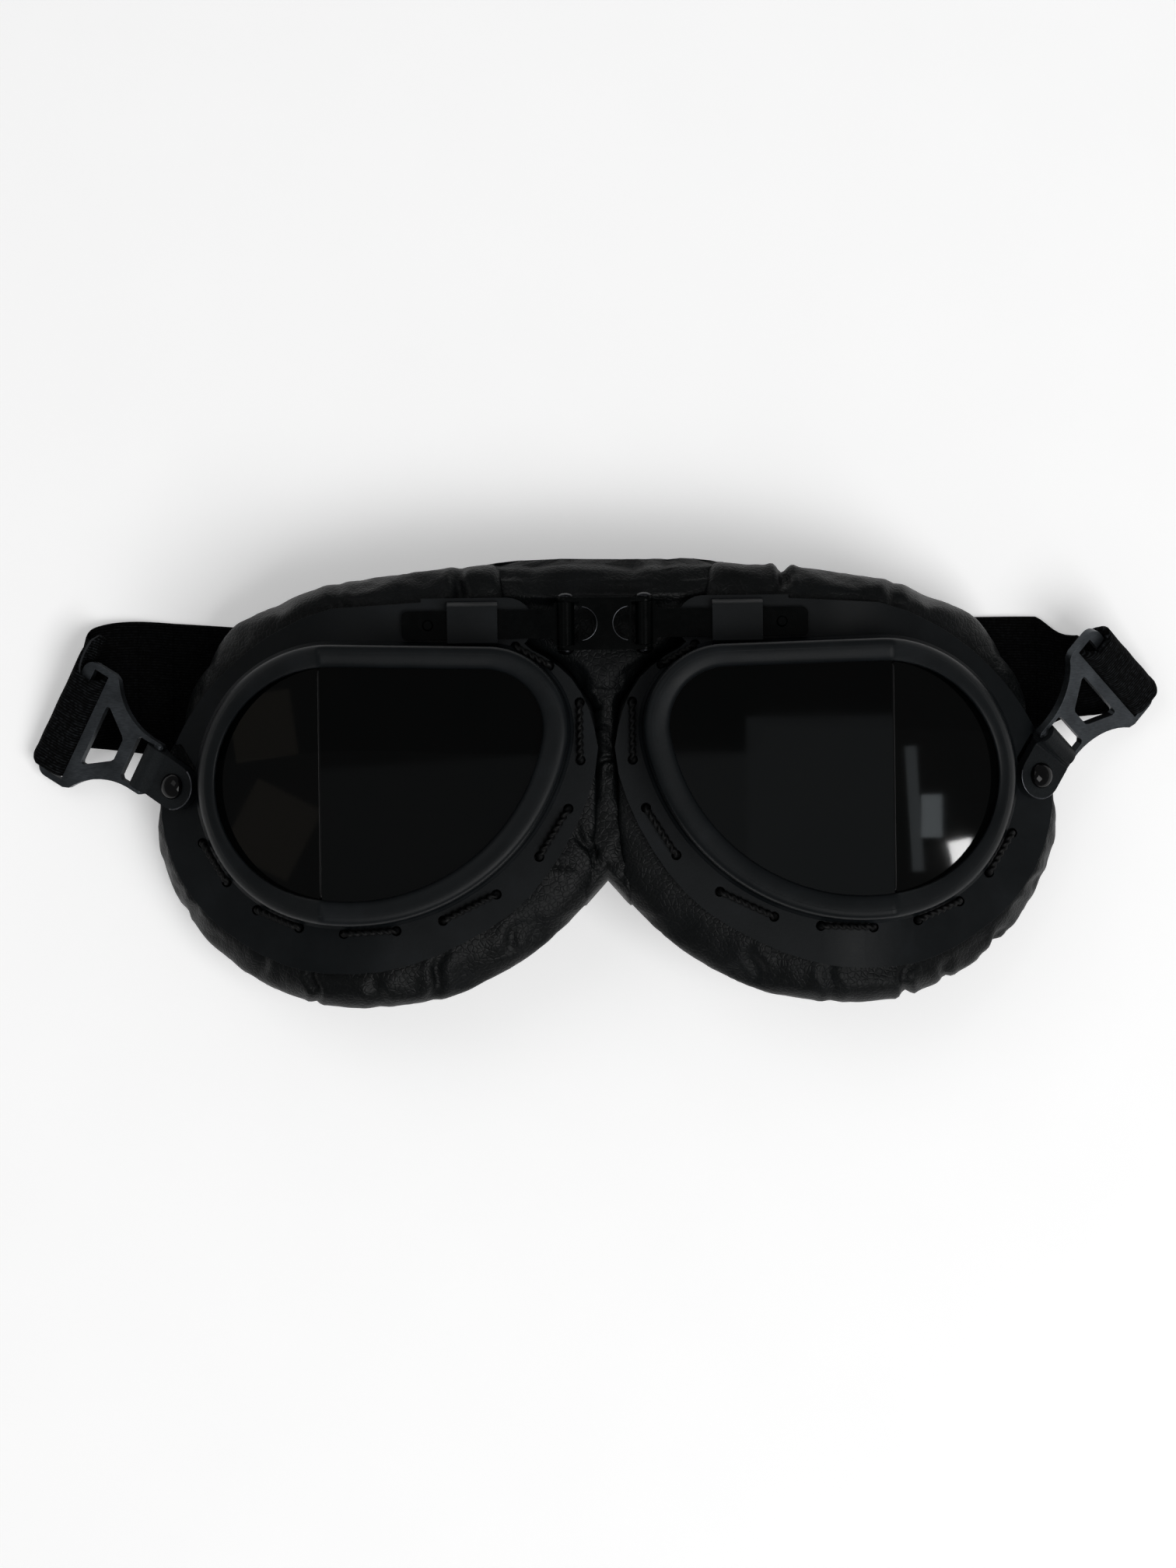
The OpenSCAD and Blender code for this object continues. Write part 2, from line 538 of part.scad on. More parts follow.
// Loop of elastic over the buckle's outer bar; the run goes on from its fold
loop_gap = 0.2;
fold_start = outer_bar - 0.3;
fold_lap = 0.35;
run_gap = 0.15;
lap_in = 1.9;
fold_corner = 3;
module strap_loop(i) {
  r_in = buckle_t / 2 + loop_gap;
  fold_x = fold_start + r_in;
  color([0.1, 0.1, 0.11]) at_buckle(i) intersection() {
    rotate([90, 0, 0]) linear_extrude(strap_w, center = true) difference() {
      union() {
        translate([fold_start, 0]) circle(r_in + strap_t);
        translate([elastic_in + lap_in, 0]) square([fold_start - elastic_in - lap_in, r_in + strap_t]);
      }
      translate([fold_start, 0]) circle(r_in);
      translate([elastic_in, -r_in]) square([fold_start - elastic_in, 2 * r_in]);
      translate([elastic_in, -10]) square([fold_start - fold_lap - elastic_in, 10]);
    }
    linear_extrude(20, center = true) polygon([[elastic_in, -strap_w / 2], [fold_x - 1, -strap_w / 2],
      [fold_x + strap_t, fold_corner - strap_w / 2], [fold_x + strap_t, strap_w / 2 - fold_corner],
      [fold_x - 1, strap_w / 2], [elastic_in, strap_w / 2]]);
  }
}

// Places and directions of the buckles in the part's frame, for the strap that leaves them
function turn_x(v, a) = [v[0], v[1] * cos(a) - v[2] * sin(a), v[1] * sin(a) + v[2] * cos(a)];
function turn_y(v, a) = [v[0] * cos(a) + v[2] * sin(a), v[1], -v[0] * sin(a) + v[2] * cos(a)];
function turn_z(v, a) = [v[0] * cos(a) - v[1] * sin(a), v[0] * sin(a) + v[1] * cos(a), v[2]];
function tab_way(v, i) = turn_y(turn_z(v, tab_turn[i]), wrap);
function buckle_way(v, i) = tab_way(turn_x(turn_y(v, -buckle_lift[i]), tab_twist[i]), i);
function buckle_point(v, i) =
  [rivet_x, rivet_y, flange_top(rivet_x)] + tab_way([tab_reach, 0, eye_z], i) + buckle_way(v, i);

// Elastic from the loop's fold down behind the cups; on the table the +X run ends over the -X one
run_n = 11;
center_half = 30;
lap_end = 33.3;
lap_start = 2;
layer_z = strap_t / 2 + 0.02;
table_x = rivet_x + 1.5;
RUN_PULL = [[[-3.3, 5.3, -1.4], [10, 1.3, 0.9]], [[-4, -5, -4], [7, -0.3, 1.3]]];
RUN_END = [
  [[center_half + fit, strap_y, layer_z]],
  [[lap_end + 6, strap_y + 4.8, layer_z], [lap_end + 1, strap_y + 5.1, layer_z + strap_t + fit],
    [lap_start, strap_y + 5.4, layer_z + strap_t + fit]]];
function run_stations(i) =
  let(p0 = buckle_point([fold_start - fold_lap - run_gap, 0, -buckle_t / 2 - loop_gap - strap_t / 2], i),
      w0 = buckle_way([0, 1, 0], i), up0 = buckle_way([0, 0, 1], i), p3 = [table_x, strap_rise[i], layer_z],
      p1 = p0 + RUN_PULL[i][0], p2 = p3 + RUN_PULL[i][1])
  concat(
    [for (k = [0:run_n]) let(t = k / run_n, u = 1 - t,
        p = u * u * u * p0 + 3 * u * u * t * p1 + 3 * u * t * t * p2 + t * t * t * p3,
        f = smooth(min(1, t * 1.6)), w = unit(mix(w0, [0, 1, 0], f)), up = mix(up0, [0, 0, 1], f))
      [p, w, unit(up - (up * w) * w)]],
    [for (p = RUN_END[i]) [p, [0, 1, 0], [0, 0, 1]]]);
module strap_run(i) {
  h = strap_w / 2;
  color([0.1, 0.1, 0.11]) row_loft([for (q = run_stations(i))
    [q[0] - h * q[1] - strap_t / 2 * q[2], q[0] + h * q[1] - strap_t / 2 * q[2],
      q[0] + h * q[1] + strap_t / 2 * q[2], q[0] - h * q[1] + strap_t / 2 * q[2]]]);
}
module strap_center() {
  corner = 3;
  color([0.1, 0.1, 0.11]) translate([0, strap_y, 0.02]) linear_extrude(strap_t) union() {
    translate([-center_half, -strap_w / 2]) square([center_half + lap_end - corner, strap_w]);
    translate([lap_end - corner - 1, corner - strap_w / 2]) square([corner + 1, strap_w - 2 * corner]);
    for (e = [-1, 1]) translate([lap_end - corner, e * (strap_w / 2 - corner)]) circle(corner);
  }
}
// Adjuster on the strap: a flat frame with a middle bar over the elastic
slider_x = -9;
slider_l = 14;
module slider() {
  wall = 1.6;
  in_w = strap_w + 2 * fit;
  color([0.42, 0.43, 0.45]) translate([slider_x, strap_y, 0]) difference() {
    translate([-slider_l / 2, -in_w / 2 - wall, 0.02]) cube([slider_l, in_w + 2 * wall, strap_t + 1.3]);
    translate([-slider_l, -in_w / 2, -1]) cube([2 * slider_l, in_w, strap_t + 1.02 + fit]);
    for (x = [-slider_l / 2 + wall, wall / 2])
      translate([x, -in_w / 2, 0]) cube([slider_l / 2 - 1.5 * wall, in_w, 9]);
  }
}

module cup_side(side) {
  color([0.15, 0.15, 0.16]) on_side(side) cup();
}
module pane_side(side) {
  color([0.2, 0.21, 0.22, 0.8]) on_side(side) children();
}
module cushion_side(side) {
  color([0.13, 0.13, 0.14]) on_side(side) cushion();
}
module lace_side(side) {
  color([0.06, 0.06, 0.07]) on_side(side) lace();
}

cup_side(-1);  // cup_left
cup_side(1);  // cup_right
pane_side(-1) lens_front();  // lens_front_left
pane_side(1) lens_front();  // lens_front_right
pane_side(-1) lens_side();  // lens_side_left
pane_side(1) lens_side();  // lens_side_right
cushion_side(-1);  // cushion_left
cushion_side(1);  // cushion_right
cushion_bridge();
lace_side(-1);  // lace_left
lace_side(1);  // lace_right
bridge_plate();
on_side(-1) hinge_pin();  // hinge_pin_left
hinge_pin();  // hinge_pin_right
on_side(-1) strap_plate();  // strap_plate_left
strap_plate();  // strap_plate_right
on_side(-1) tab(0);  // tab_left
tab(1);  // tab_right
on_side(-1) rivet();  // rivet_left
rivet();  // rivet_right
on_side(-1) buckle(0);  // buckle_left
buckle(1);  // buckle_right
on_side(-1) strap_loop(0);  // strap_loop_left
strap_loop(1);  // strap_loop_right
on_side(-1) strap_run(0);  // strap_run_left
strap_run(1);  // strap_run_right
strap_center();
slider();
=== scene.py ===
"""Split-lens riding goggles, lying face up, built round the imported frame. Shapes are in millimetres
until a mesh is made; the right side is drawn and the left side mirrors it."""
import math

import bmesh
import bpy
from mathutils import Matrix, Quaternion, Vector, noise


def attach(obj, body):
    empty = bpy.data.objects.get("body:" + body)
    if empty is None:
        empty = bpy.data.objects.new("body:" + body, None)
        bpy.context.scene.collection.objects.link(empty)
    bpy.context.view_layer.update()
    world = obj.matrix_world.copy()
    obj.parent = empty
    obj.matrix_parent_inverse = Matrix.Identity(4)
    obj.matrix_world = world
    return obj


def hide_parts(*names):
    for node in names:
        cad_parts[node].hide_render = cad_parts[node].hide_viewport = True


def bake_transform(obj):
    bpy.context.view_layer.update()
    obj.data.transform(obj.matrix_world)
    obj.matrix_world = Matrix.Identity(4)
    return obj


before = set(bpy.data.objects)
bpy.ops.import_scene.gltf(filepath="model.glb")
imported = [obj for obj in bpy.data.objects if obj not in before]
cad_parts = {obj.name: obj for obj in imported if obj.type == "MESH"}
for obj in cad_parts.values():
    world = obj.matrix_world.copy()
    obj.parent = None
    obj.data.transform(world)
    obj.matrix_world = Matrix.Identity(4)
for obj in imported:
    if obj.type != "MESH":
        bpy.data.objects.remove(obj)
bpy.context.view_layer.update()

bl_info = {
    "name": "Riding Goggles",
    "version": (1, 0, 0),
    "blender": (4, 5, 0),
    "location": "View3D > Sidebar > Goggles",
    "description": "Dresses a packed pair of split-lens riding goggles",
    "category": "Object",
}

MM = 0.001
SIDES = ((-1, "left"), (1, "right"))

# ---- Sizes shared with the part's source, in millimetres
TEMPLE_X, TEMPLE_R, NOSE_R, LOWER_R = 57.5, 23.8, 12, 40.5
SEAM_X = TEMPLE_X + 1.5
FLANGE_Z, FLANGE_T, LENS_RISE = 36.5, 2.2, 11
SIDE_SLOPE, WRAP, RIM_LIP = math.radians(39), math.radians(32), 2.6
LACE_D, LACE_LOW = 1.4, 1.6
PAD_T, PAD_INNER, STRAP_GAP, SOFT_GAP, MIDDLE_GAP = 14.6, 4.3, 2.6, 0.25, 2
NOSE_LEAN = math.tan(math.radians(13))
BRIDGE_Y, BRIDGE_TOP, WINDOW_X, WINDOW_R = 32.8, 40.02, 5.15, 3.55
TAB_T, TAB_W, TAB_REACH, BUCKLE_T, FIT = 1.2, 9.6, 7.7, 1.8, 0.1
TAB_TURN, TAB_TWIST, BUCKLE_LIFT = (30.7, 55.3), (0, 17), (8, 14)
STRAP_W, STRAP_T, STRAP_Y, STRAP_RISE = 23.8, 1.4, 18.2, (22, 21.6)
RIVET_X, RIVET_Y = TEMPLE_X + TEMPLE_R + 8.1, 0.3
EYE_Z = TAB_T + 0.15
ELASTIC_IN = 16.8
OUTER_BAR = ELASTIC_IN + 3.6 + 2.6
LOOP_GAP, RUN_GAP = 0.2, 0.15
FOLD_START, FOLD_LAP = OUTER_BAR - 0.3, 0.35
TABLE_X = RIVET_X + 1.5
CENTER_HALF, LAP_START, LAP_END, CORNER = 30, 2, 33.3, 3
LAYER_Z = STRAP_T / 2 + 0.02
RUN_PULL = (((4.4, 7.6, -1.8), (10.1, 1.1, 1.1)), ((-4.8, -5.4, -4.1), (5.3, -0.4, 1.2)))
RUN_END = (
    ((CENTER_HALF + FIT, STRAP_Y, LAYER_Z),),
    ((LAP_END + 6, STRAP_Y + 4.8, LAYER_Z), (LAP_END + 1, STRAP_Y + 5.1, LAYER_Z + STRAP_T + FIT),
     (LAP_START, STRAP_Y + 5.4, LAYER_Z + STRAP_T + FIT)))

ARC_A = Vector((TEMPLE_X, 0.5))
ARC_B = Vector((TEMPLE_X - 32.5, 11.5))


def lower_centre():
    """Centre of the long lower arc, which touches the temple arc and the nose arc from outside."""
    d = ARC_B - ARC_A
    ra, rb = LOWER_R - TEMPLE_R, LOWER_R - NOSE_R
    along = (ra * ra - rb * rb + d.length_squared) / (2 * d.length)
    aside = math.sqrt(ra * ra - along * along)
    u = d.normalized()
    return ARC_A + along * u + aside * Vector((u.y, -u.x))


def heading(a, b):
    """Direction from b to a, in radians."""
    return math.atan2(a.y - b.y, a.x - b.x)


ARC_C = lower_centre()
TOP_TURN = math.degrees(heading(ARC_A, ARC_B)
                        + math.acos((NOSE_R - TEMPLE_R) / (ARC_B - ARC_A).length))
AC_TURN = math.degrees(heading(ARC_A, ARC_C))
CB_TURN = math.degrees(heading(ARC_B, ARC_C))
CB_TURN -= 360 if CB_TURN > 0 else 0
END_TURN = TOP_TURN - 360

# Widths round the eye by turn: the rim's wall, the flange, and the padding's swell past the flange
RIM_W = ((91, 4.6), (50, 4.1), (20, 3.6), (-20, 3.6), (-50, 4.3), (-80, 4.9), (-168, 5.4),
         (-225, 4.9), (-270, 4.6))
FLANGE_W = ((91, 12.3), (75, 9.9), (60, 8.7), (45, 8.2), (30, 8.7), (15, 9.9), (0, 11.5),
            (-10, 12.6), (-35, 13.8), (-60, 14.2), (-80, 15.3), (-97, 15), (-115, 14), (-130, 14),
            (-147, 12.8), (-165, 12.2), (-181, 10.4), (-195, 9.4), (-209, 8.6), (-225, 7.4),
            (-239, 6.8), (-252, 8), (-268, 14.9))
SWELL = ((91, 4.5), (75, 4.5), (60, 5.8), (40, 3.2), (21, 0.4), (-8, 0.5), (-20, 1.9), (-40, 2.9),
         (-60, 4.1), (-76, 4.9), (-84, 6.1), (-100, 7), (-108, 8.2), (-132, 9.1), (-148, 11),
         (-158, 9), (-170, 3), (-190, 1.6), (-200, 0.4), (-258.7, 0.4), (-262.5, 8.9), (-268, 6.4))
BEND_X, BEND_R, BEND_N, BEND_END = TEMPLE_X - 1.5, 40, 8, 120
BEND_CX, BEND_CZ = BEND_X - BEND_R * math.tan(WRAP / 2), FLANGE_Z - BEND_R
BEND = [(0, FLANGE_Z)] + [
    (BEND_CX + BEND_R * math.sin(WRAP * i / BEND_N), BEND_CZ + BEND_R * math.cos(WRAP * i / BEND_N))
    for i in range(BEND_N + 1)] + [(BEND_END, FLANGE_Z - (BEND_END - BEND_X) * math.tan(WRAP))]
LENS_Z = FLANGE_Z + LENS_RISE

# Holes of each stitch: arc, turn, and share of the way from the rim to the flange's edge
LACE_TURNS = (
    (("nose", -249, 0.41), ("nose", -223.5, 0.6)), (("nose", -194.6, 0.72), ("low", -165.9, 0.48)),
    (("low", -154, 0.59), ("low", -140.7, 0.56)), (("low", -127.2, 0.44), ("low", -112.8, 0.33)),
    (("low", -101.1, 0.22), ("low", -87.9, 0.18)), (("low", -76.4, 0.19), ("temple", -59.3, 0.22)),
    (("temple", -42.8, 0.2), ("temple", -24.2, 0.22)))
# Leather over the brow and down the nose: place, share of the width between the cushions, and how
# far its outer and inner face lie under the flange's top; pulled taut over the nose
BRIDGE_ROWS = (
    (-20.3, 0.7, 11, 14), (-20, 0.92, 8.4, 15), (-19.2, 1, 6.2, 16), (-17.5, 1, 4.5, 16.7),
    (-14, 1, 3.6, 17.2), (0, 1, 3.4, 17.2), (10, 1, 3.4, 17.2), (14, 1, 3.2, 17.2),
    (17, 1, 2.8, 17.1), (20, 1, 2.55, 17), (33, 1, 2.55, 16.6), (37, 1, 2.5, 16.4), (39, 1, 1.8, 16),
    (42, 1, 2.4, 15.4), (44.4, 0.98, 4.2, 14.2), (45.6, 0.93, 6.4, 12.6), (46.3, 0.7, 9.2, 11))
# How far that leather laps over the cushions, by place, and the slope of its notch over the nose
SIDE_LAP = ((-20, 3), (-14, 3.8), (-8, 2.6), (-3, 0.35), (30, 0.35), (41, 2.6))
NOTCH = 1.15


# ---- Shape rules shared with the part's source
def lookup(x, table):
    """Straight-line value of a table of pairs at x, held level past its ends."""
    rows = sorted(table)
    if x <= rows[0][0]:
        return rows[0][1]
    for (x0, y0), (x1, y1) in zip(rows, rows[1:]):
        if x <= x1:
            return y0 + (y1 - y0) * (x - x0) / (x1 - x0)
    return rows[-1][1]


def mix(a, b, k):
    return a + (b - a) * k


def smooth(k):
    return k * k * (3 - 2 * k)


def cos_sin(degrees):
    return math.cos(math.radians(degrees)), math.sin(math.radians(degrees))


def flange_top(x):
    return lookup(x, BEND)


def flange_under(x):
    return flange_top(x) - lookup(x, ((BEND_CX, FLANGE_T), (BEND_X + 12, FLANGE_T / math.cos(WRAP))))


def lens_face(x):
    return LENS_Z - max(0, x - SEAM_X) * math.tan(SIDE_SLOPE)


def stations(step):
    """Stations round the eye about step apart: centre, radius, turn, share of the brow line."""
    def arc(c, r, a, b):
        n = max(2, round(math.radians(abs(a - b)) * (r + 6) / step))
        return [(c, r, a + (b - a) * i / n, None) for i in range(n)]
    n = round((ARC_A - ARC_B).length / step)
    brow = [(ARC_B.lerp(ARC_A, i / n), mix(NOSE_R, TEMPLE_R, i / n), END_TURN, i / n)
            for i in range(n)]
    return (brow + arc(ARC_A, TEMPLE_R, TOP_TURN, AC_TURN) + arc(ARC_C, LOWER_R, AC_TURN, CB_TURN)
            + arc(ARC_B, NOSE_R, CB_TURN, END_TURN))


def at(s, d):
    """The point at distance d outside the lens outline, at the station s."""
    c, sn = cos_sin(s[2])
    return Vector((s[0].x + (s[1] + d) * c, s[0].y + (s[1] + d) * sn))


def width_at(s, table):
    if s[3] is not None:
        return mix(lookup(-268, table), lookup(91, table), s[3])
    return lookup(s[2], table)


def lace_point(hole):
    arc, turn, share = hole
    c, r = {"nose": (ARC_B, NOSE_R), "low": (ARC_C, LOWER_R), "temple": (ARC_A, TEMPLE_R)}[arc]
    return at((c, r, turn, None), mix(lookup(turn, RIM_W), lookup(turn, FLANGE_W), share))


def soften(points, rounds, closed=False):
    """Corners cut off a row of points, as many times as rounds says."""
    for _ in range(rounds):
        out = []
        for a, b in zip(points, points[1:] + (points[:1] if closed else [])):
            out += [a * 0.75 + b * 0.25, a * 0.25 + b * 0.75]
        points = out if closed else [points[0]] + out + [points[-1]]
    return points


def turned(v, axis, degrees):
    return Matrix.Rotation(math.radians(degrees), 3, axis) @ Vector(v)


def tab_way(v, i):
    return turned(turned(v, "Z", TAB_TURN[i]), "Y", math.degrees(WRAP))


def buckle_way(v, i):
    return tab_way(turned(turned(v, "Y", -BUCKLE_LIFT[i]), "X", TAB_TWIST[i]), i)


def tab_point(v, i):
    """A point given in the tab's own frame, measured from its rivet, in the part's frame."""
    return Vector((RIVET_X, RIVET_Y, flange_top(RIVET_X))) + tab_way(v, i)


def buckle_point(v, i):
    """A point given in the buckle's own frame, measured from its bar, in the part's frame."""
    return tab_point((TAB_REACH, 0, EYE_Z), i) + buckle_way(v, i)


# ---- Mesh helpers
def assign(thing, **values):
    for key, value in values.items():
        setattr(thing, key, value)
    return thing


def add_object(name, data):
    ob = bpy.data.objects.new(name, data)
    bpy.context.collection.objects.link(ob)
    return ob


def skin(rows, n, closed):
    """Faces between rows of n points; a closed row of rows is a ring, an open one has a cap at each end."""
    quads = [(i * n + j, i * n + (j + 1) % n, (i + 1) % rows * n + (j + 1) % n, (i + 1) % rows * n + j)
             for i in range(rows if closed else rows - 1) for j in range(n)]
    if closed:
        return quads
    return ([(a, d, c, b) for a, b, c, d in quads]
            + [tuple(range(n)), tuple(rows * n - 1 - j for j in range(n))])


def mesh_piece(name, rows, finish, side=1, closed=False, uv=None):
    """An object from rows of points in millimetres, which side -1 mirrors."""
    me = bpy.data.meshes.new(name)
    faces = skin(len(rows), len(rows[0]), closed)
    me.from_pydata([Vector((v.x * side, v.y, v.z)) * MM for row in rows for v in row], [],
                   faces if side > 0 else [tuple(reversed(f)) for f in faces])
    if uv:
        layer = me.uv_layers.new(name="Run")
        for loop in me.loops:
            layer.data[loop.index].uv = [c * MM for c in uv[loop.vertex_index]]
    me.materials.append(material(finish))
    me.shade_smooth()
    return finish_mesh(add_object(name, me), outward=True)


def plain_mesh(ob):
    """The object's shape, with its live modifiers applied."""
    dg = bpy.context.evaluated_depsgraph_get()
    return bpy.data.meshes.new_from_object(ob.evaluated_get(dg), depsgraph=dg)


def finish_mesh(ob, outward=False):
    """Live modifiers applied, so that the piece is one plain mesh at the origin."""
    me = plain_mesh(ob)
    ob.modifiers.clear()
    ob.data = me
    if outward:
        bm = bmesh.new()
        bm.from_mesh(me)
        bmesh.ops.recalc_face_normals(bm, faces=bm.faces)
        bm.to_mesh(me)
        bm.free()
    return ob


def add_modifier(ob, kind, **settings):
    return assign(ob.modifiers.new(kind.title(), kind), **settings)


def settle(ob, body, node_name=None):
    """The piece rides body and stands for the node, if one is named."""
    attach(ob, body)
    if node_name:
        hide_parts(node_name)
    return ob


def rounded_copy(node_name, name, finish, width, angle, segments, body):
    """A CAD node's shape with its loose triangles merged and its edges eased, which stands for it."""
    weld, flat, crisp = 2e-6, math.radians(0.7), math.radians(50)
    bm = bmesh.new()
    bm.from_mesh(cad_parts[node_name].data)
    bmesh.ops.remove_doubles(bm, verts=bm.verts, dist=weld)
    bmesh.ops.dissolve_limit(bm, angle_limit=flat, verts=bm.verts, edges=bm.edges)
    me = bpy.data.meshes.new(name)
    bm.to_mesh(me)
    bm.free()
    me.materials.clear()
    me.materials.append(material(finish))
    ob = add_object(name, me)
    add_modifier(ob, "BEVEL", width=width * MM, segments=segments, limit_method="ANGLE",
                 angle_limit=math.radians(angle), harden_normals=False, use_clamp_overlap=True)
    finish_mesh(ob)
    ob.data.shade_smooth()
    ob.data.set_sharp_from_angle(angle=crisp)
    add_modifier(ob, "WEIGHTED_NORMAL", keep_sharp=True)
    finish_mesh(ob)
    return settle(ob, body, node_name)


def dress(node_name, finish):
    """A CAD node that keeps its own mesh gets a made material on every slot."""
    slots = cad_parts[node_name].data.materials
    if not slots:
        slots.append(material(finish))
    for i in range(len(slots)):
        slots[i] = material(finish)


# ---- Node helpers
def srgb(code):
    """A hex colour as linear red, green, blue and 1."""
    parts = [int(code[i:i + 2], 16) / 255 for i in (1, 3, 5)]
    return tuple(c / 12.92 if c <= 0.04045 else ((c + 0.055) / 1.055) ** 2.4 for c in parts) + (1.0,)


def plug(tree, n, inputs):
    """Inputs of n, by name or place: a value, a socket, or a node for its first output."""
    for key, value in inputs.items():
        if isinstance(value, bpy.types.Node):
            value = value.outputs[0]
        if isinstance(value, bpy.types.NodeSocket):
            tree.links.new(value, n.inputs[key])
        else:
            n.inputs[key].default_value = value
    return n


def node(tree, kind, inputs=None, **settings):
    return plug(tree, assign(tree.nodes.new(kind), **settings), inputs or {})


def maths(tree, operation, *values):
    return node(tree, "ShaderNodeMath", dict(enumerate(values)), operation=operation)


def clouds(tree, place, mm, detail, **more):
    """Noise whose largest spots are about mm millimetres across."""
    return node(tree, "ShaderNodeTexNoise", {"Vector": place, "Scale": 1 / (mm * MM), "Detail": detail,
                                             **more})


def remap(tree, value, low, high, start=0.3, end=0.8):
    """The value's stretch from start to end, spread from low to high."""
    return node(tree, "ShaderNodeMapRange", {0: value, 1: start, 2: end, 3: low, 4: high})


def bump(tree, strength, mm, height, under=None):
    more = {"Normal": under} if under else {}
    return node(tree, "ShaderNodeBump", {"Strength": strength, "Distance": mm * MM, "Height": height,
                                         **more})


def ramp(tree, fac, stops):
    """A colour ramp through pairs of place and hex colour."""
    n = node(tree, "ShaderNodeValToRGB", {"Fac": fac})
    els = n.color_ramp.elements
    while len(els) < len(stops):
        els.new(0.5)
    for el, (pos, col) in zip(els, stops):
        el.position, el.color = pos, srgb(col)
    return n


# ---- Materials
def new_material(name):
    """A node material, its tree, its shader and the position on the object that its patterns read."""
    mat = bpy.data.materials.new(name)
    mat.use_nodes = True
    tree = mat.node_tree
    return mat, tree, tree.nodes["Principled BSDF"], node(tree, "ShaderNodeTexCoord").outputs["Object"]


def rubber():
    """Moulded rubber: matt charcoal skin with a faint bloom of dust and a fine sandblasted grain."""
    mat, tree, sh, co = new_material("moulded rubber")
    bloom, grain = clouds(tree, co, 11, 5, Roughness=0.6), clouds(tree, co, 0.5, 2)
    plug(tree, sh, {
        "Base Color": ramp(tree, bloom, ((0.3, "#0A0D0F"), (0.55, "#0D1012"), (0.75, "#121518"))),
        "Roughness": remap(tree, bloom, 0.36, 0.52), "Normal": bump(tree, 0.25, 0.06, grain),
        "Specular IOR Level": 0.12})
    return mat


def smoked_pane():
    """Smoked polycarbonate: a glossy pane, nearly black against what lies behind it."""
    mat, tree, sh, co = new_material("smoked polycarbonate")
    haze = clouds(tree, co, 20, 3)
    plug(tree, sh, {
        "Base Color": ramp(tree, haze, ((0.3, "#010202"), (0.8, "#030303"))),
        "Roughness": remap(tree, haze, 0.012, 0.03), "Alpha": 0.965, "IOR": 1.5,
        "Specular IOR Level": 0.08})
    return mat


def leather(name, dark, mid, pale, rough, grain_mm, depth):
    """Coated leather: fine pebbled grain with painted shade in its grooves, soft sheen on the ridges, a
    little paler where it's rubbed.
    """
    mat, tree, sh, co = new_material(name)
    wander = clouds(tree, co, 4, 3).outputs["Color"]
    shift = node(tree, "ShaderNodeVectorMath", {0: wander, "Scale": 0.6 * MM}, operation="SCALE")
    place = node(tree, "ShaderNodeVectorMath", {0: co, 1: shift}, operation="ADD")
    cells = node(tree, "ShaderNodeTexVoronoi", {"Vector": place, "Scale": 1 / (grain_mm * MM)},
                 feature="DISTANCE_TO_EDGE")
    cloud = clouds(tree, co, 13, 4, Roughness=0.55)
    # random cloud tone, multiplied darker near the edges of the grain's cells: painted shade in the grain's
    # grooves
    colour = node(tree, "ShaderNodeMix", {
        "Factor": 1.0, 6: ramp(tree, cloud, ((0.3, dark), (0.52, mid), (0.78, pale))),
        7: remap(tree, cells, 0.72, 1.0, 0.0, 0.12)}, data_type="RGBA", blend_type="MULTIPLY")
    pebbles = bump(tree, depth, 0.12, remap(tree, cells, 0.0, 1.0, 0.0, 0.18))
    plug(tree, sh, {
        "Base Color": colour.outputs[2], "Roughness": remap(tree, cloud, rough, rough + 0.14),
        "Normal": bump(tree, 0.16, 0.3, clouds(tree, co, 2.2, 4, Distortion=0.6), pebbles),
        "Specular IOR Level": 0.11})
    return mat


def cord_wax():
    """Waxed cotton cord: near-black twist with dull highlights where the wax lies thick."""
    mat, tree, sh, co = new_material("waxed cotton cord")
    fibre = clouds(tree, co, 0.45, 3)
    plug(tree, sh, {
        "Base Color": ramp(tree, fibre, ((0.3, "#040404"), (0.7, "#0C0D0E"))),
        "Roughness": remap(tree, fibre, 0.4, 0.7, 0.0, 1.0), "Normal": bump(tree, 0.5, 0.1, fibre),
        "Specular IOR Level": 0.15})
    return mat


def enamel(name, dark, pale, low, high, scratch_mm, gloss):
    """Stove enamel, lacquer or thread: a smooth dark film with faint rub marks."""
    mat, tree, sh, co = new_material(name)
    rub = clouds(tree, co, scratch_mm, 6, Roughness=0.7)
    plug(tree, sh, {
        "Base Color": ramp(tree, rub, ((0.35, dark), (0.75, pale))),
        "Roughness": remap(tree, rub, low, high), "Normal": bump(tree, 0.12, 0.04, rub),
        "Specular IOR Level": gloss})
    return mat


def metal(name, dark, pale, low, high, streak_mm):
    """Plated metal, tumbled: satin with fine random streaks and random paler patches."""
    mat, tree, sh, co = new_material(name)
    brushed = node(tree, "ShaderNodeMapping", {"Vector": co, "Rotation": (0, 0, 0.6), "Scale": (1, 6, 1)})
    streak = clouds(tree, brushed, streak_mm, 4, Roughness=0.6)
    both = maths(tree, "MULTIPLY", streak, clouds(tree, co, 6, 3))
    plug(tree, sh, {
        "Base Color": ramp(tree, both, ((0.12, dark), (0.4, pale))),
        "Roughness": remap(tree, both, low, high, 0.1, 0.45), "Normal": bump(tree, 0.15, 0.03, streak),
        "Metallic": 1.0})
    return mat


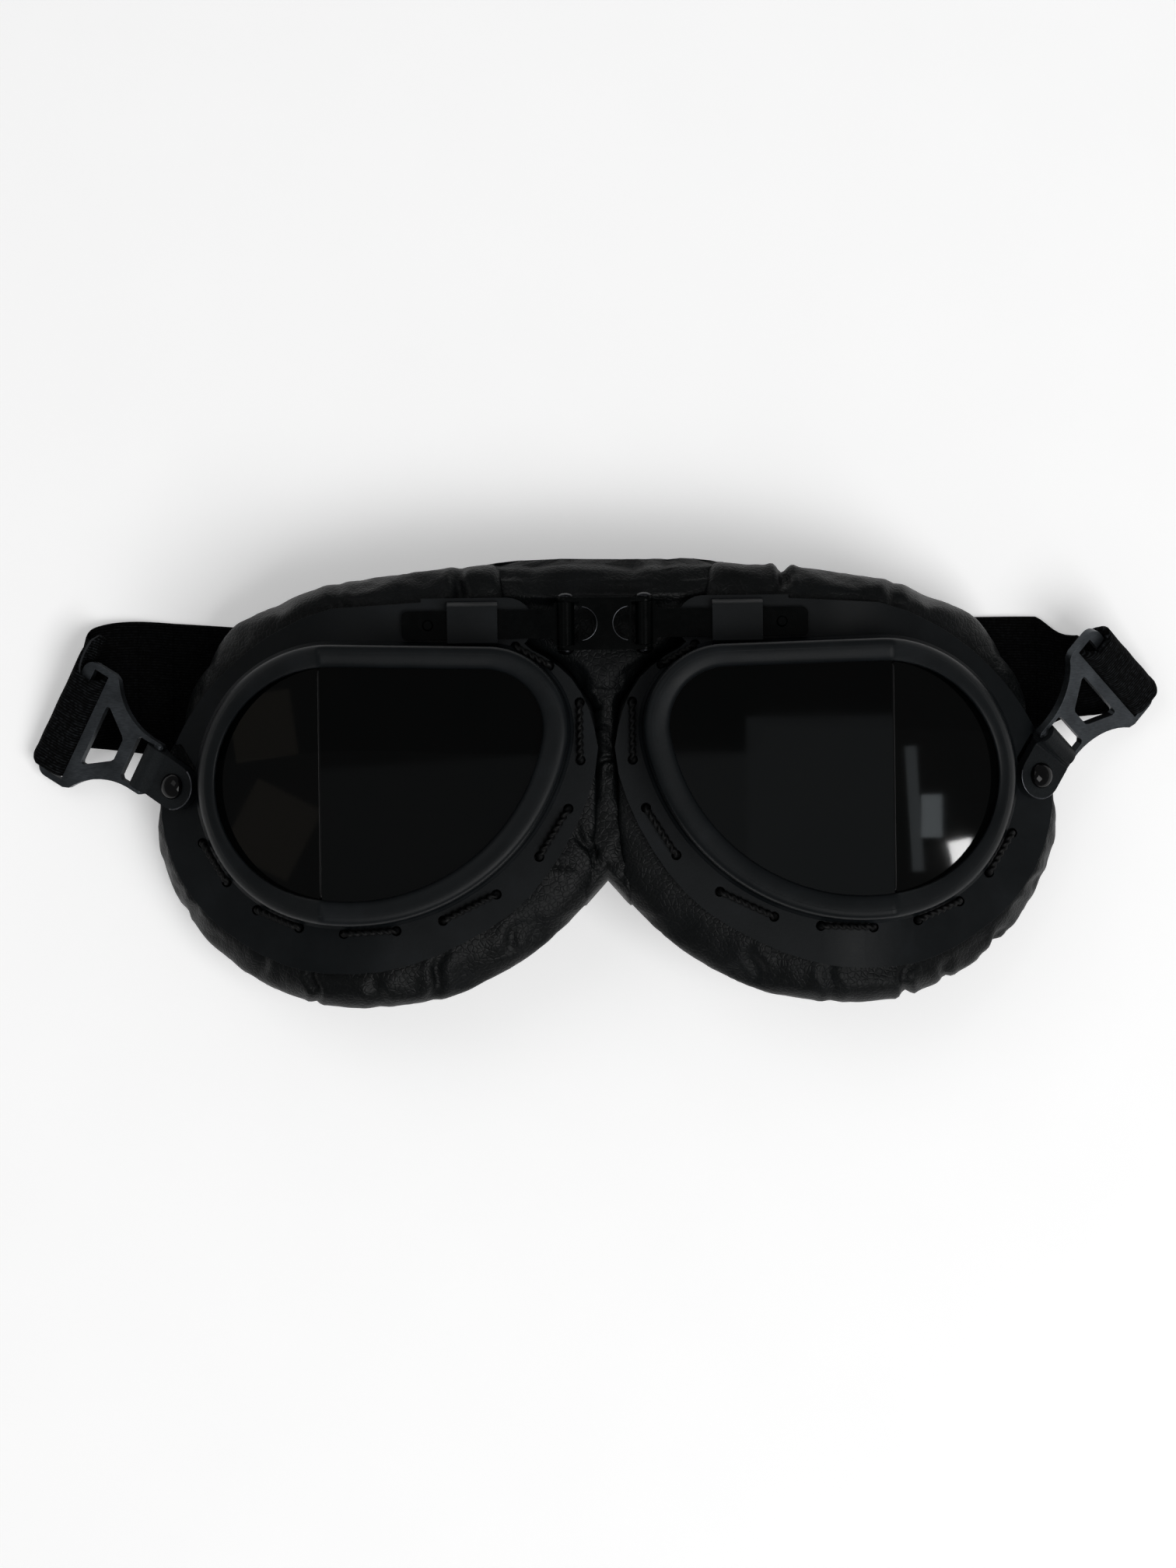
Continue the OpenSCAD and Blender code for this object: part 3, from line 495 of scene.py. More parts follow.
def knit(name, yarn, lit_nub_colour):
    """Knitted elastic: matt black ribs along the strap, 0.57 mm apart, paler on the raised nubs and rib
    crests as painted highlight, with random specks in the yarn's own tone.
    """
    mat, tree, sh, _ = new_material(name)
    uv = node(tree, "ShaderNodeUVMap", uv_map="Run")
    # at scale 1 a wave is a tenth of pi long
    rib_scale = math.pi / 10 / (0.5654687 * MM)
    cells = node(tree, "ShaderNodeTexVoronoi", {"Vector": uv, "Scale": 1 / (0.85 * MM), "Randomness": 0.75})
    ribs = node(tree, "ShaderNodeTexWave", {"Vector": uv, "Scale": rib_scale, "Distortion": 1.4,
                                            "Detail": 1}, bands_direction="Y").outputs["Fac"]
    nub = maths(tree, "SUBTRACT", 1.0, maths(tree, "MULTIPLY", cells, 1.1))
    level = maths(tree, "MULTIPLY", maths(tree, "ADD", nub, ribs), 0.5)
    # colour follows the relief, painted highlight on the nubs and rib crests, times random specks of the
    # yarn's own tone
    relief_lit_speck = maths(tree, "MULTIPLY", level, clouds(tree, uv, 0.6, 2))
    loose = bump(tree, 0.7, 0.6, clouds(tree, uv, 1.2, 3, Distortion=0.8))
    plug(tree, sh, {
        "Base Color": ramp(tree, relief_lit_speck, ((0.12, "#020202"), (0.28, yarn), (0.45, lit_nub_colour))),
        "Roughness": 0.85, "Normal": bump(tree, 0.8, 0.3, level, loose), "Specular IOR Level": 0.04})
    return mat


FINISHES = {
    "rubber": (rubber,),
    "pane": (smoked_pane,),
    "lace": (cord_wax,),
    "leather": (leather, "coated leather", "#070909", "#090B0C", "#0D1011", 0.38, 1.1, 0.4),
    "tab": (leather, "burnished leather", "#0F1113", "#15181A", "#1B1E20", 0.42, 0.7, 0.2),
    "enamel": (enamel, "stove enamel", "#010202", "#040505", 0.2, 0.34, 3, 0.05),
    "gloss": (enamel, "glossy lacquer", "#040405", "#070708", 0.05, 0.1, 3, 0.16),
    "thread": (enamel, "polyester thread", "#1C1D1F", "#2C2E31", 0.6, 0.8, 0.4, 0.12),
    # steel for the arcs painted as edge highlights on the tabs and the bridge's windows
    "steel": (metal, "bright steel wire", "#3A3B3E", "#63656A", 0.24, 0.38, 0.6),
    "blued": (metal, "blackened steel", "#161719", "#2B2C2F", 0.24, 0.36, 0.6),
    "gunmetal": (metal, "gunmetal plate", "#393C3F", "#505458", 0.38, 0.52, 1.2),
    "knit": (knit, "knitted elastic", "#050506", "#0E0F10"),
    "crepe": (knit, "crepe elastic", "#0B0C0D", "#1E2022"),
}
MATERIALS = {}


def material(key):
    """Each finish is made once, when a piece first asks for it."""
    if key not in MATERIALS:
        make, *values = FINISHES[key]
        MATERIALS[key] = make(*values)
    return MATERIALS[key]


# ---- What a user would change
def length(label, description, default):
    return bpy.props.FloatProperty(name=label, description=description, default=default, unit="LENGTH")


class GogglesSizes(bpy.types.PropertyGroup):
    """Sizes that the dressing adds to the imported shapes."""
    lace_twist: length("Lace twist", "Length of one turn of the lace's plies", 0.0032)
    edge: length("Moulded edge", "Rounding of the rubber's edges", 0.00035)
    puff: length("Puff", "How far the padding may swell past its drawn shape", 0.0022)
    crease: length("Crease depth", "Depth of the leather's folds", 0.0016)
    stitch_pitch: length("Overlock pitch", "From one edge stitch to the next", 0.00095)


class GogglesColours(bpy.types.PropertyGroup):
    """Colours of the stage."""
    floor: bpy.props.FloatVectorProperty(name="Floor", description="Colour of the table", subtype="COLOR",
                                         default=srgb("#F2F2F2")[:3], min=0, max=1)


# ---- Stage
WHITE, WARM, COOL = (1, 1, 1), (1, 0.86, 0.66), (0.86, 0.95, 1)
# A soft key and a fill from above, then the lamps that the panes mirror: small low ones for the side
# panes and high ones for the front panes. Each has place, size, power, colour and turn.
LAMPS = (
    ("key", (0.5, -0.5, 1.2), (0.8, 0.8), 10.6, WHITE, 0),
    ("fill", (-0.55, 0.45, 1.1), (0.7, 0.7), 1.5, WHITE, 0),
    ("window", (0.85, -0.0223, 0.1645), (0.0075, 0.007), 0.0148, WHITE, 12),
    ("doorway", (0.85, -0.0113, 0.1736), (0.013, 0.0063), 0.0018, COOL, 0),
    ("gap", (0.85, -0.009, 0.1789), (0.038, 0.0035), 0.0011, COOL, 3),
    ("shelf", (-0.85, 0.0185, 0.1715), (0.02, 0.019), 0.00042, WARM, 8),
    ("cabinet", (-0.85, -0.013, 0.174), (0.024, 0.022), 0.0006, WARM, -28),
    ("ceiling", (0.13, -0.028, 2.43), (0.11, 0.12), 0.036, COOL, 0),
    ("ceiling_edge", (0.043, -0.036, 2.43), (0.064, 0.1), 0.013, COOL, 0),
    ("ceiling_far", (-0.11, -0.035, 2.43), (0.18, 0.09), 0.015, COOL, 3))
OVERHEAD = 2


class GOGGLES_OT_stage(bpy.types.Operator):
    """Camera, lamps, world and table"""
    bl_idname = "goggles.stage"
    bl_label = "Stage"

    def execute(self, context):
        scene = context.scene
        # the photograph's frame: 325.2 mm tall, seen from straight above with a long lens
        frame_tall, distance, level, film = 0.3252, 1.7, 0.03, 36
        cam = assign(bpy.data.cameras.new("camera"), sensor_fit="VERTICAL", sensor_height=film,
                     sensor_width=film, lens=film * distance / frame_tall, clip_start=0.01, clip_end=20)
        # the goggles lie turned a little anticlockwise in the picture
        scene.camera = assign(add_object("camera", cam), location=(-0.0039, -0.0003, level + distance),
                              rotation_euler=(0, 0, math.radians(-0.72)))

        half = 3
        me = bpy.data.meshes.new("table")
        me.from_pydata([(x * half, y * half, 0) for x, y in ((-1, -1), (1, -1), (1, 1), (-1, 1))], [],
                       [(0, 1, 2, 3)])
        mat, tree, sh, co = new_material("painted table")
        floor = (*scene.goggles_colours.floor, 1)
        tone = node(tree, "ShaderNodeMix", {"Factor": clouds(tree, co, 25, 2), 6: floor, 7: srgb("#EFEFEF")},
                    data_type="RGBA")
        # the table also glows faintly in what is seen, mirrored or looked at through a pane
        seen = node(tree, "ShaderNodeLightPath").outputs
        any_ray = maths(tree, "MAXIMUM", seen["Is Camera Ray"], seen["Is Glossy Ray"])
        any_ray = maths(tree, "MAXIMUM", any_ray, seen["Is Transmission Ray"])
        plug(tree, sh, {"Base Color": tone.outputs[2], "Roughness": 0.9, "Specular IOR Level": 0.1,
                        "Emission Color": (1, 1, 1, 1),
                        "Emission Strength": maths(tree, "MULTIPLY", any_ray, 0.3)})
        me.materials.append(mat)
        add_object("table", me)

        world = bpy.data.worlds.new("studio")
        world.use_nodes = True
        scene.world = world
        tree = world.node_tree
        tree.nodes.clear()
        dim, bright = (node(tree, "ShaderNodeBackground", {"Color": (1, 1, 1, 1), "Strength": strength})
                       for strength in (0.26, 1.0))
        camera_ray = node(tree, "ShaderNodeLightPath").outputs["Is Camera Ray"]
        both = node(tree, "ShaderNodeMixShader", {0: camera_ray, 1: dim, 2: bright})
        node(tree, "ShaderNodeOutputWorld", {"Surface": both})

        for name, place, size, power, colour, turn in LAMPS:
            lamp = assign(bpy.data.lights.new(name, "AREA"), shape="RECTANGLE", energy=power, color=colour,
                          size=size[0], size_y=size[1])
            aim = Vector(place).to_track_quat("Z", "Y") if place[2] < OVERHEAD else Quaternion()
            assign(add_object(name, lamp), location=place, rotation_mode="QUATERNION",
                   rotation_quaternion=aim @ Quaternion((0, 0, 1), math.radians(turn)))
        scene.view_settings.view_transform = "Standard"
        return {"FINISHED"}


# ---- Cups
def rim_profile(s):
    """Section of the moulded rim: distance outside the opening, and height over the lens or flange."""
    w = width_at(s, RIM_W)
    over_lens = [(0.0, 0.16), (-0.02, 1.1), (0.02, 1.5), (0.3, 1.95), (0.9, RIM_LIP - 0.3),
                 (0.5 * w, RIM_LIP), (w - 1.1, RIM_LIP - 0.02), (w - 0.35, RIM_LIP - 0.4),
                 (w, RIM_LIP - 1.1), (w + 0.1, 0)]
    over_flange = [(w + 0.14, 1.6), (w + 0.3, 0.5), (w + 1.1, 0.05), (w + 1.1, -0.5), (2.7, -0.5)]
    inside = [(2.6, -2.2), (1.7, 0.4)]
    out = []
    for spec, face in ((over_lens, lens_face), (over_flange, flange_top), (inside, lens_face)):
        for d, h in spec:
            p = at(s, d)
            out.append(Vector((p.x, p.y, h + face(p.x))))
    return soften(out, 2, closed=True)


class GOGGLES_OT_cups(bpy.types.Operator):
    """Moulded rubber cups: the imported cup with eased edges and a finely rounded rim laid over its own"""
    bl_idname = "goggles.cups"
    bl_label = "Cups"

    def execute(self, context):
        sizes = context.scene.goggles_sizes
        for side, name in SIDES:
            rounded_copy(f"cup_{name}", f"cup_shell_{name}", "rubber", sizes.edge / MM, 35, 2,
                         f"cup_{name}")
            sections = [rim_profile(s) for s in stations(0.8)]
            rim = mesh_piece(f"cup_rim_{name}", sections, "rubber", side, closed=True)
            settle(rim, f"cup_{name}")
        return {"FINISHED"}


class GOGGLES_OT_lenses(bpy.types.Operator):
    """Split lenses: smoked panes and the glossy bead of glue down their seam"""
    bl_idname = "goggles.lenses"
    bl_label = "Lenses"

    def execute(self, context):
        section = ((-0.2, -0.3), (-0.18, 0.01), (-0.08, 0.06), (0.06, 0.05), (0.2, -0.14), (0.2, -0.4))
        under_rim, steps = 0.2, 40
        for side, name in SIDES:
            for pane in ("front", "side"):
                dress(f"lens_{pane}_{name}", "pane")
            top, foot = (math.sqrt((r + under_rim) ** 2 - (SEAM_X - c.x) ** 2) * k + c.y
                         for c, r, k in ((ARC_A, TEMPLE_R, 1), (ARC_C, LOWER_R, -1)))
            rows = [[Vector((SEAM_X + dx, mix(foot, top, i / steps), LENS_Z + dz)) for dx, dz in section]
                    for i in range(steps + 1)]
            settle(mesh_piece(f"lens_seam_{name}", rows, "gloss", side), f"cup_{name}")
        return {"FINISHED"}


# ---- Padding
def pad_back(x, y):
    return max(flange_under(x) - PAD_T, lookup(y, ((1, 0), (6, STRAP_GAP), (36, STRAP_GAP), (40, 0))))


def nose_face(z):
    """Distance from the middle at which the padding stops beside the nose."""
    return MIDDLE_GAP + (FLANGE_Z - FLANGE_T - z) * NOSE_LEAN


def pad_section(s):
    """Section of the padding: distance outside the opening, and share of its thickness."""
    w, b, c = width_at(s, FLANGE_W), width_at(s, SWELL), PAD_INNER
    out = []
    for d, k in ((c, 0), (mix(c, w, 0.5), 0), (w - 0.8, 0), (w + 0.35 * b, 0.02), (w + 0.75 * b, 0.12),
                 (w + b, 0.32), (w + 1.02 * b, 0.52), (w + 0.92 * b, 0.74), (mix(c, w + b, 0.86), 0.93),
                 (mix(c, w + b, 0.6), 1), (mix(c, w + b, 0.28), 1), (c + 0.3, 0.86), (c + 0.9, 0.5),
                 (c + 0.3, 0.12)):
        p = at(s, d)
        z = mix(flange_under(p.x) - SOFT_GAP, pad_back(p.x, p.y), k)
        out.append(Vector((max(p.x, nose_face(z)), p.y, z)))
    return soften(out, 1, closed=True)


# Folds in the leather: place, direction of the fold line, its half length and width, and its depth
FOLDS_LEFT = (
    ((-30.2, 41), 84, 4.5, 1.1, 1.5), ((-4.2, -13.5), -60, 6.5, 0.6, 1.6), ((-9, -17), -20, 3.5, 0.7, 0.8),
    ((-61.3, -41), 98, 5.5, 0.8, 1.1), ((-35.5, -39.5), 80, 6, 1.0, 1.2), ((-72, -36), 60, 4.5, 1.2, 0.8),
    ((-48, -43), 95, 4, 1.4, 0.8), ((-20, -32), 60, 5, 1.1, 0.8), ((-86, -24), 30, 4, 1.3, 0.7),
    ((-55, 38.5), 100, 4, 1.2, 0.7))
FOLDS_RIGHT = (
    ((37.1, 43), 80, 4.5, 1.1, 1.5), ((61.3, -43), 84, 5.5, 0.9, 1.2), ((81, -34.8), 50, 5, 0.9, 1.2),
    ((46, -42), 95, 5, 1.2, 0.9), ((30, -38), 110, 5, 1.2, 0.8), ((70, -41), 70, 4, 1.0, 0.7),
    ((60, 38), 80, 4, 1.2, 0.7), ((90, -22), 20, 4, 1.2, 0.6))
FOLDS_BROW = (
    ((-8.1, 42), 88, 7, 0.8, 1.0), ((5.6, 42), 92, 7, 0.8, 1.0), ((-15, 43), 80, 4, 1.3, 0.6),
    ((13, 43), 100, 4, 1.3, 0.6), ((0, 36), 5, 9, 1.0, 0.4), ((-3, 14.5), 35, 2.6, 0.5, 0.7),
    ((-1.2, 11), 10, 2.2, 0.5, 0.7), ((0.6, 4.4), 8, 2.6, 0.45, 0.9), ((-0.6, 7.6), -20, 2, 0.5, 0.6),
    ((0.9, 2.2), 80, 1.8, 0.5, 0.5), ((3.5, 21), 75, 6, 1.2, 0.5), ((-3.4, -14.3), -60, 6.5, 0.6, 1.5),
    ((3.2, -13), 70, 5, 1.0, 0.5), ((4, -19), 50, 3.5, 0.8, 0.5))
FULL_CREASE, CLOTH_FRAMES = 1.6, 20


def fold_leather(ob, folds, depth, ripple, shift, keep):
    """Presses the fold lines and the fine gathers into the padding, along the surface's own normals."""
    me = ob.data
    lines = [(place, cos_sin(turn), half, wide, deep) for place, turn, half, wide, deep in folds]
    normals = [v.normal.copy() for v in me.vertices]
    for v, n in zip(me.vertices, normals):
        p = v.co / MM
        if keep(p):
            continue
        push = 0.0
        for (x, y), (c, sn), half, wide, deep in lines:
            dx, dy = p.x - x, p.y - y
            along, across = dx * c + dy * sn, -dx * sn + dy * c
            # each line wanders a little, and the leather stands up beside it
            across += 0.5 * math.sin(along * 0.9 + shift)
            k = max(0, 1 - (along / half) ** 2)
            push -= deep * k * math.exp(-(across / wide) ** 2)
            push += 0.35 * deep * k * math.exp(-((abs(across) - 2 * wide) / wide) ** 2)
        wave = noise.noise(Vector((p.x * 0.22, p.y * 0.22, p.z * 0.12 + shift))) * 0.6
        wave += (1 - abs(noise.noise(Vector((p.x * 0.5, p.y * 0.5, p.z * 0.2 + shift + 7)))) * 3) * 0.14
        v.co += n * (push * depth / FULL_CREASE + wave * ripple) * MM
    me.update()


def swell(ob, pinned, cap, growth):
    """Cloth blown up a little from inside; pinned points stay, and no point moves further than cap."""
    scene = bpy.context.scene
    rest = [v.co.copy() for v in ob.data.vertices]
    group = ob.vertex_groups.new(name="held")
    for v in ob.data.vertices:
        group.add([v.index], 1.0 if pinned(v.co / MM) else 0.0, "REPLACE")
    m = add_modifier(ob, "CLOTH")
    assign(m.settings, vertex_group_mass="held", quality=6, mass=0.15, tension_stiffness=12,
           compression_stiffness=12, shear_stiffness=6, bending_stiffness=4, shrink_min=-growth,
           use_pressure=True, uniform_pressure_force=3)
    m.settings.effector_weights.gravity = 0
    assign(m.collision_settings, use_collision=False, use_self_collision=False)
    for f in range(1, CLOTH_FRAMES + 1):
        scene.frame_set(f)
    dg = bpy.context.evaluated_depsgraph_get()
    moved = [v.co.copy() for v in ob.evaluated_get(dg).data.vertices]
    ob.modifiers.clear()
    ob.vertex_groups.clear()
    scene.frame_set(1)
    for v, a, b in zip(ob.data.vertices, rest, moved):
        d = b - a
        v.co = a + d * min(1, cap / max(d.length, 1e-9))
    ob.data.update()


class GOGGLES_OT_cushions(bpy.types.Operator):
    """Face cushions: padded leather rings, blown up as cloth and then creased as in the photograph"""
    bl_idname = "goggles.cushions"
    bl_label = "Cushions"

    def execute(self, context):
        sizes = context.scene.goggles_sizes
        under = [flange_under(x) for x in range(BEND_END + 1)]
        rings = [pad_section(s) for s in stations(1.25)]

        low, against, beside_nose, strap_zone = 3.2, 0.4, 6, (2.2, 15)

        def held(p):
            """True on the table, against the flange and beside the nose."""
            top = flange_under(abs(p.x)) - SOFT_GAP - against
            return p.z < low or p.z > top or abs(p.x) < beside_nose

        def over_strap(p):
            return p.z < strap_zone[0] and abs(p.y - STRAP_Y) < strap_zone[1]

        for side, name in SIDES:
            ob = mesh_piece(f"face_cushion_{name}", rings, "leather", side, closed=True)
            swell(ob, held, sizes.puff, 0.018)
            add_modifier(ob, "SUBSURF", levels=1, render_levels=1)
            finish_mesh(ob)
            folds = FOLDS_LEFT if side < 0 else FOLDS_RIGHT
            fold_leather(ob, folds, sizes.crease / MM, 0.32, 3.0 * side, over_strap)
            for v in ob.data.vertices:
                # the leather stays below the flange, above the table's top and off the middle
                p = v.co / MM
                p.z = max(0.02, min(p.z, under[min(BEND_END, int(abs(p.x)))] - 0.12))
                p.x = side * max(side * p.x, nose_face(p.z) - 0.05)
                v.co = p * MM
            ob.data.update()
            ob.data.shade_smooth()
            settle(ob, f"cup_{name}", f"cushion_{name}")
        return {"FINISHED"}


def pad_edge():
    """Edge of the padding beside the nose and under the brow: height above the middle, and distance."""
    rows = []
    for t in range(-180, -269, -4):
        p = at((ARC_B, NOSE_R, t, None), lookup(t, FLANGE_W) + lookup(t, SWELL))
        rows.append((p.y, p.x))
    return rows


def pillow(y, share, top, low, edge, n):
    """A rounded box of n points across the middle at y, notched where it lies over the nose."""
    square, notch_half, notch_start, notch_run = 0.6, 4.6, -8, 9
    deep = NOTCH * smooth(min(1, max(0, (notch_start - y) / notch_run)))
    out = []
    for i in range(n):
        t = -2 * math.pi * i / n
        c, s = math.cos(t), math.sin(t)
        z = (top + low) / 2 + (top - low) / 2 * math.copysign(abs(s) ** square, s)
        half = max(lookup(y, edge), nose_face(z)) + lookup(y, SIDE_LAP)
        x = share * half * math.copysign(abs(c) ** square, c)
        out.append(Vector((x, y - deep * min(abs(x), notch_half), z)))
    return out


def half_of(ob, side, name):
    """The part of ob at one side of the middle, closed there, which keeps the whole piece's shading."""
    bm = bmesh.new()
    bm.from_mesh(ob.data)
    bmesh.ops.bisect_plane(bm, geom=bm.verts[:] + bm.edges[:] + bm.faces[:], dist=1e-7, plane_co=(0, 0, 0),
                           plane_no=(1, 0, 0))
    bm.normal_update()
    whole = bm.verts.layers.float_vector.new("whole")
    for v in bm.verts:
        v[whole] = v.normal
    far = [f for f in bm.faces if f.calc_center_median().x * side < 0]
    bmesh.ops.delete(bm, geom=far, context="FACES")
    for f in bmesh.ops.holes_fill(bm, edges=[e for e in bm.edges if e.is_boundary], sides=0)["faces"]:
        f.normal_update()
        if f.normal.x * side > 0:
            f.normal_flip()
    normals = [tuple(v[whole]) for v in bm.verts]
    bm.verts.layers.float_vector.remove(whole)
    me = bpy.data.meshes.new(name)
    bm.to_mesh(me)
    bm.free()
    me.materials.append(ob.data.materials[0])
    me.shade_smooth()
    me.normals_split_custom_set_from_vertices(normals)
    return add_object(name, me)


class GOGGLES_OT_bridge_leather(bpy.types.Operator):
    """Leather over the brow and down the nose, in two halves that meet in the middle"""
    bl_idname = "goggles.bridge_leather"
    bl_label = "Bridge leather"

    def execute(self, context):
        sizes = context.scene.goggles_sizes
        shares, tops, lows = (tuple((r[0], r[k]) for r in BRIDGE_ROWS) for k in (1, 2, 3))
        count, around, edge = 150, 64, pad_edge()
        rows = []
        for i in range(count):
            y = mix(BRIDGE_ROWS[0][0], BRIDGE_ROWS[-1][0], i / (count - 1))
            top, low = FLANGE_Z - lookup(y, tops), FLANGE_Z - lookup(y, lows)
            rows.append(pillow(y, lookup(y, shares), top, low, edge, around))
        ob = mesh_piece("brow_leather", rows, "leather")
        swell(ob, lambda p: p.z < 26 or p.y < 16, 0.0009, 0.015)
        fold_leather(ob, FOLDS_BROW, sizes.crease / MM, 0.35, 5.0, lambda p: p.z < 21)
        for v in ob.data.vertices:
            p = v.co / MM
            # it stays under the flanges and the bridge plate
            if p.y < 40:
                v.co.z = min(v.co.z, (FLANGE_Z - (1.3 if abs(p.x) < 13 else FLANGE_T + 0.1)) * MM)
        # the leather is cut into two halves that meet in the middle
        for side, name in SIDES:
            part = half_of(ob, side, f"brow_leather_{name}")
            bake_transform(part)
            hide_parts("cushion_bridge")
        bpy.data.objects.remove(ob)
        return {"FINISHED"}


# ---- Geometry Nodes
def new_tree(name, inputs):
    """A geometry tree with named inputs, whole numbers or lengths, and their defaults."""
    tree = bpy.data.node_groups.new(name, "GeometryNodeTree")
    for way in ("INPUT", "OUTPUT"):
        tree.interface.new_socket(name="Geometry", in_out=way, socket_type="NodeSocketGeometry")
    for key, default in inputs.items():
        kind = "NodeSocketInt" if isinstance(default, int) else "NodeSocketFloat"
        tree.interface.new_socket(name=key, in_out="INPUT", socket_type=kind).default_value = default
    return tree, node(tree, "NodeGroupInput").outputs


def close_tree(tree, geometry, mat):
    real = node(tree, "GeometryNodeRealizeInstances", {"Geometry": geometry})
    painted = node(tree, "GeometryNodeSetMaterial", {"Geometry": real, "Material": mat})
    node(tree, "NodeGroupOutput", {0: painted})
    return tree


def run_tree(ob, tree, name, values, mat):
    """The tree's result on ob as a plain mesh object; values are set by each socket's identifier."""
    m = add_modifier(ob, "NODES", node_group=tree)
    for item in tree.interface.items_tree:
        if item.in_out == "INPUT" and item.name in values:
            m[item.identifier] = values[item.name]
    me = plain_mesh(ob)
    me.name = name
    if not me.materials:
        me.materials.append(mat)
    bpy.data.objects.remove(ob)
    me.shade_smooth()
    return add_object(name, me)


def path_object(paths, side):
    """Paths through points in millimetres, as one curve object."""
    cu = bpy.data.curves.new("path", "CURVE")
    cu.dimensions = "3D"
    for path in paths:
        sp = cu.splines.new("POLY")
        sp.points.add(len(path) - 1)
        for p, q in zip(sp.points, path):
            p.co = (q.x * side * MM, q.y * MM, q.z * MM, 1)
    return add_object("path", cu)


def lace_tree():
    """Two-ply twisted cord: a lobed section turned steadily along each path."""
    tree, given = new_tree("Laced cord", {"Diameter": 0.0014, "Twist": 0.003})
    spaced = node(tree, "GeometryNodeResampleCurve", {"Curve": given["Geometry"], "Length": 0.0003},
                  mode="LENGTH")
    along = node(tree, "GeometryNodeSplineParameter").outputs["Length"]
    angle = maths(tree, "MULTIPLY", maths(tree, "DIVIDE", along, given["Twist"]), 2 * math.pi)
    tilted = node(tree, "GeometryNodeSetCurveTilt", {"Curve": spaced, "Tilt": angle})
    ring = node(tree, "GeometryNodeCurvePrimitiveCircle", {"Resolution": 14})
    place = node(tree, "GeometryNodeInputPosition")
    split = node(tree, "ShaderNodeSeparateXYZ", {0: place}).outputs
    twice = maths(tree, "MULTIPLY", maths(tree, "ARCTAN2", split["Y"], split["X"]), 2.0)
    size = maths(tree, "MULTIPLY_ADD", maths(tree, "COSINE", twice), 0.22, 0.78)
    radius = maths(tree, "MULTIPLY", size, maths(tree, "MULTIPLY", given["Diameter"], 0.5))
    scaled = node(tree, "ShaderNodeVectorMath", {0: place, "Scale": radius}, operation="SCALE")
    lobed = node(tree, "GeometryNodeSetPosition", {"Geometry": ring, "Position": scaled})
    cord = node(tree, "GeometryNodeCurveToMesh", {"Curve": tilted, "Profile Curve": lobed, "Fill Caps": True})
    return close_tree(tree, cord, material("lace"))


def overlock_tree():
    """Overlock stitches: short round-ended threads across a path at an even pitch, each a little askew."""
    tree, given = new_tree("Overlock edge", {"Pitch": 0.00095, "Reach": 0.0022, "Thread": 0.0006, "Seed": 4})
    spaced = node(tree, "GeometryNodeCurveToPoints", {"Curve": given["Geometry"], "Length": given["Pitch"]},
                  mode="LENGTH").outputs
    ball = node(tree, "GeometryNodeMeshUVSphere", {"Segments": 8, "Rings": 6, "Radius": 0.5})
    wide = node(tree, "ShaderNodeCombineXYZ", {0: given["Thread"], 1: given["Reach"], 2: given["Thread"]})
    askew = node(tree, "FunctionNodeRandomValue", {2: -0.22, 3: 0.22, "Seed": given["Seed"]},
                 data_type="FLOAT").outputs[1]
    tip = node(tree, "FunctionNodeEulerToRotation", {
        0: node(tree, "ShaderNodeCombineXYZ", {0: math.pi / 2, 2: askew})})
    facing = node(tree, "FunctionNodeRotateRotation", {0: spaced["Rotation"], 1: tip}, rotation_space="LOCAL")
    put = node(tree, "GeometryNodeInstanceOnPoints", {"Points": spaced["Points"], "Instance": ball,
                                                      "Rotation": facing, "Scale": wide})
    return close_tree(tree, put, material("thread"))


# ---- Lace
# Share of the way along a stitch, and height over the flange, or -1 for the end under it
LACE_STEPS = ((0, -1), (0, -0.2), (0.02, 0.55), (0.15, 1), (0.35, 1.06), (0.65, 1.06), (0.85, 1),
              (0.98, 0.55), (1, -0.2), (1, -1))
LACE_SWELL = 1.12


def lace_route(stitch):
    out = []
    a, b = (lace_point(hole) for hole in stitch)
    for share, level in LACE_STEPS:
        x, y = a.lerp(b, share)
        steep = (flange_top(x) - flange_under(x)) / FLANGE_T
        z = flange_under(x) - LACE_LOW if level == -1 else flange_top(x) + level * steep
        out.append(Vector((x, y, z)))
    return soften(out, 2)


class GOGGLES_OT_laces(bpy.types.Operator):
    """Waxed laces through the flange's holes"""
    bl_idname = "goggles.laces"
    bl_label = "Laces"

    def execute(self, context):
        tree, routes = lace_tree(), [lace_route(stitch) for stitch in LACE_TURNS]
        values = {"Diameter": LACE_D * LACE_SWELL * MM, "Twist": context.scene.goggles_sizes.lace_twist}
        for side, name in SIDES:
            ob = run_tree(path_object(routes, side), tree, f"waxed_lace_{name}", values, material("lace"))
            settle(ob, f"cup_{name}", f"lace_{name}")
        return {"FINISHED"}


# ---- Hardware
def highlight_arc(name, side, radius, thick, turns, place, body):
    """A thin steel arc painted as an edge highlight; place puts its points in the part's frame."""
    round_section = [(radius + thick * c, thick * sn) for c, sn in map(cos_sin, range(0, 360, 45))]
    rows = [[place(r * c, r * sn, up) for r, up in round_section] for c, sn in map(cos_sin, turns)]
    settle(mesh_piece(name, rows, "steel", side), body)


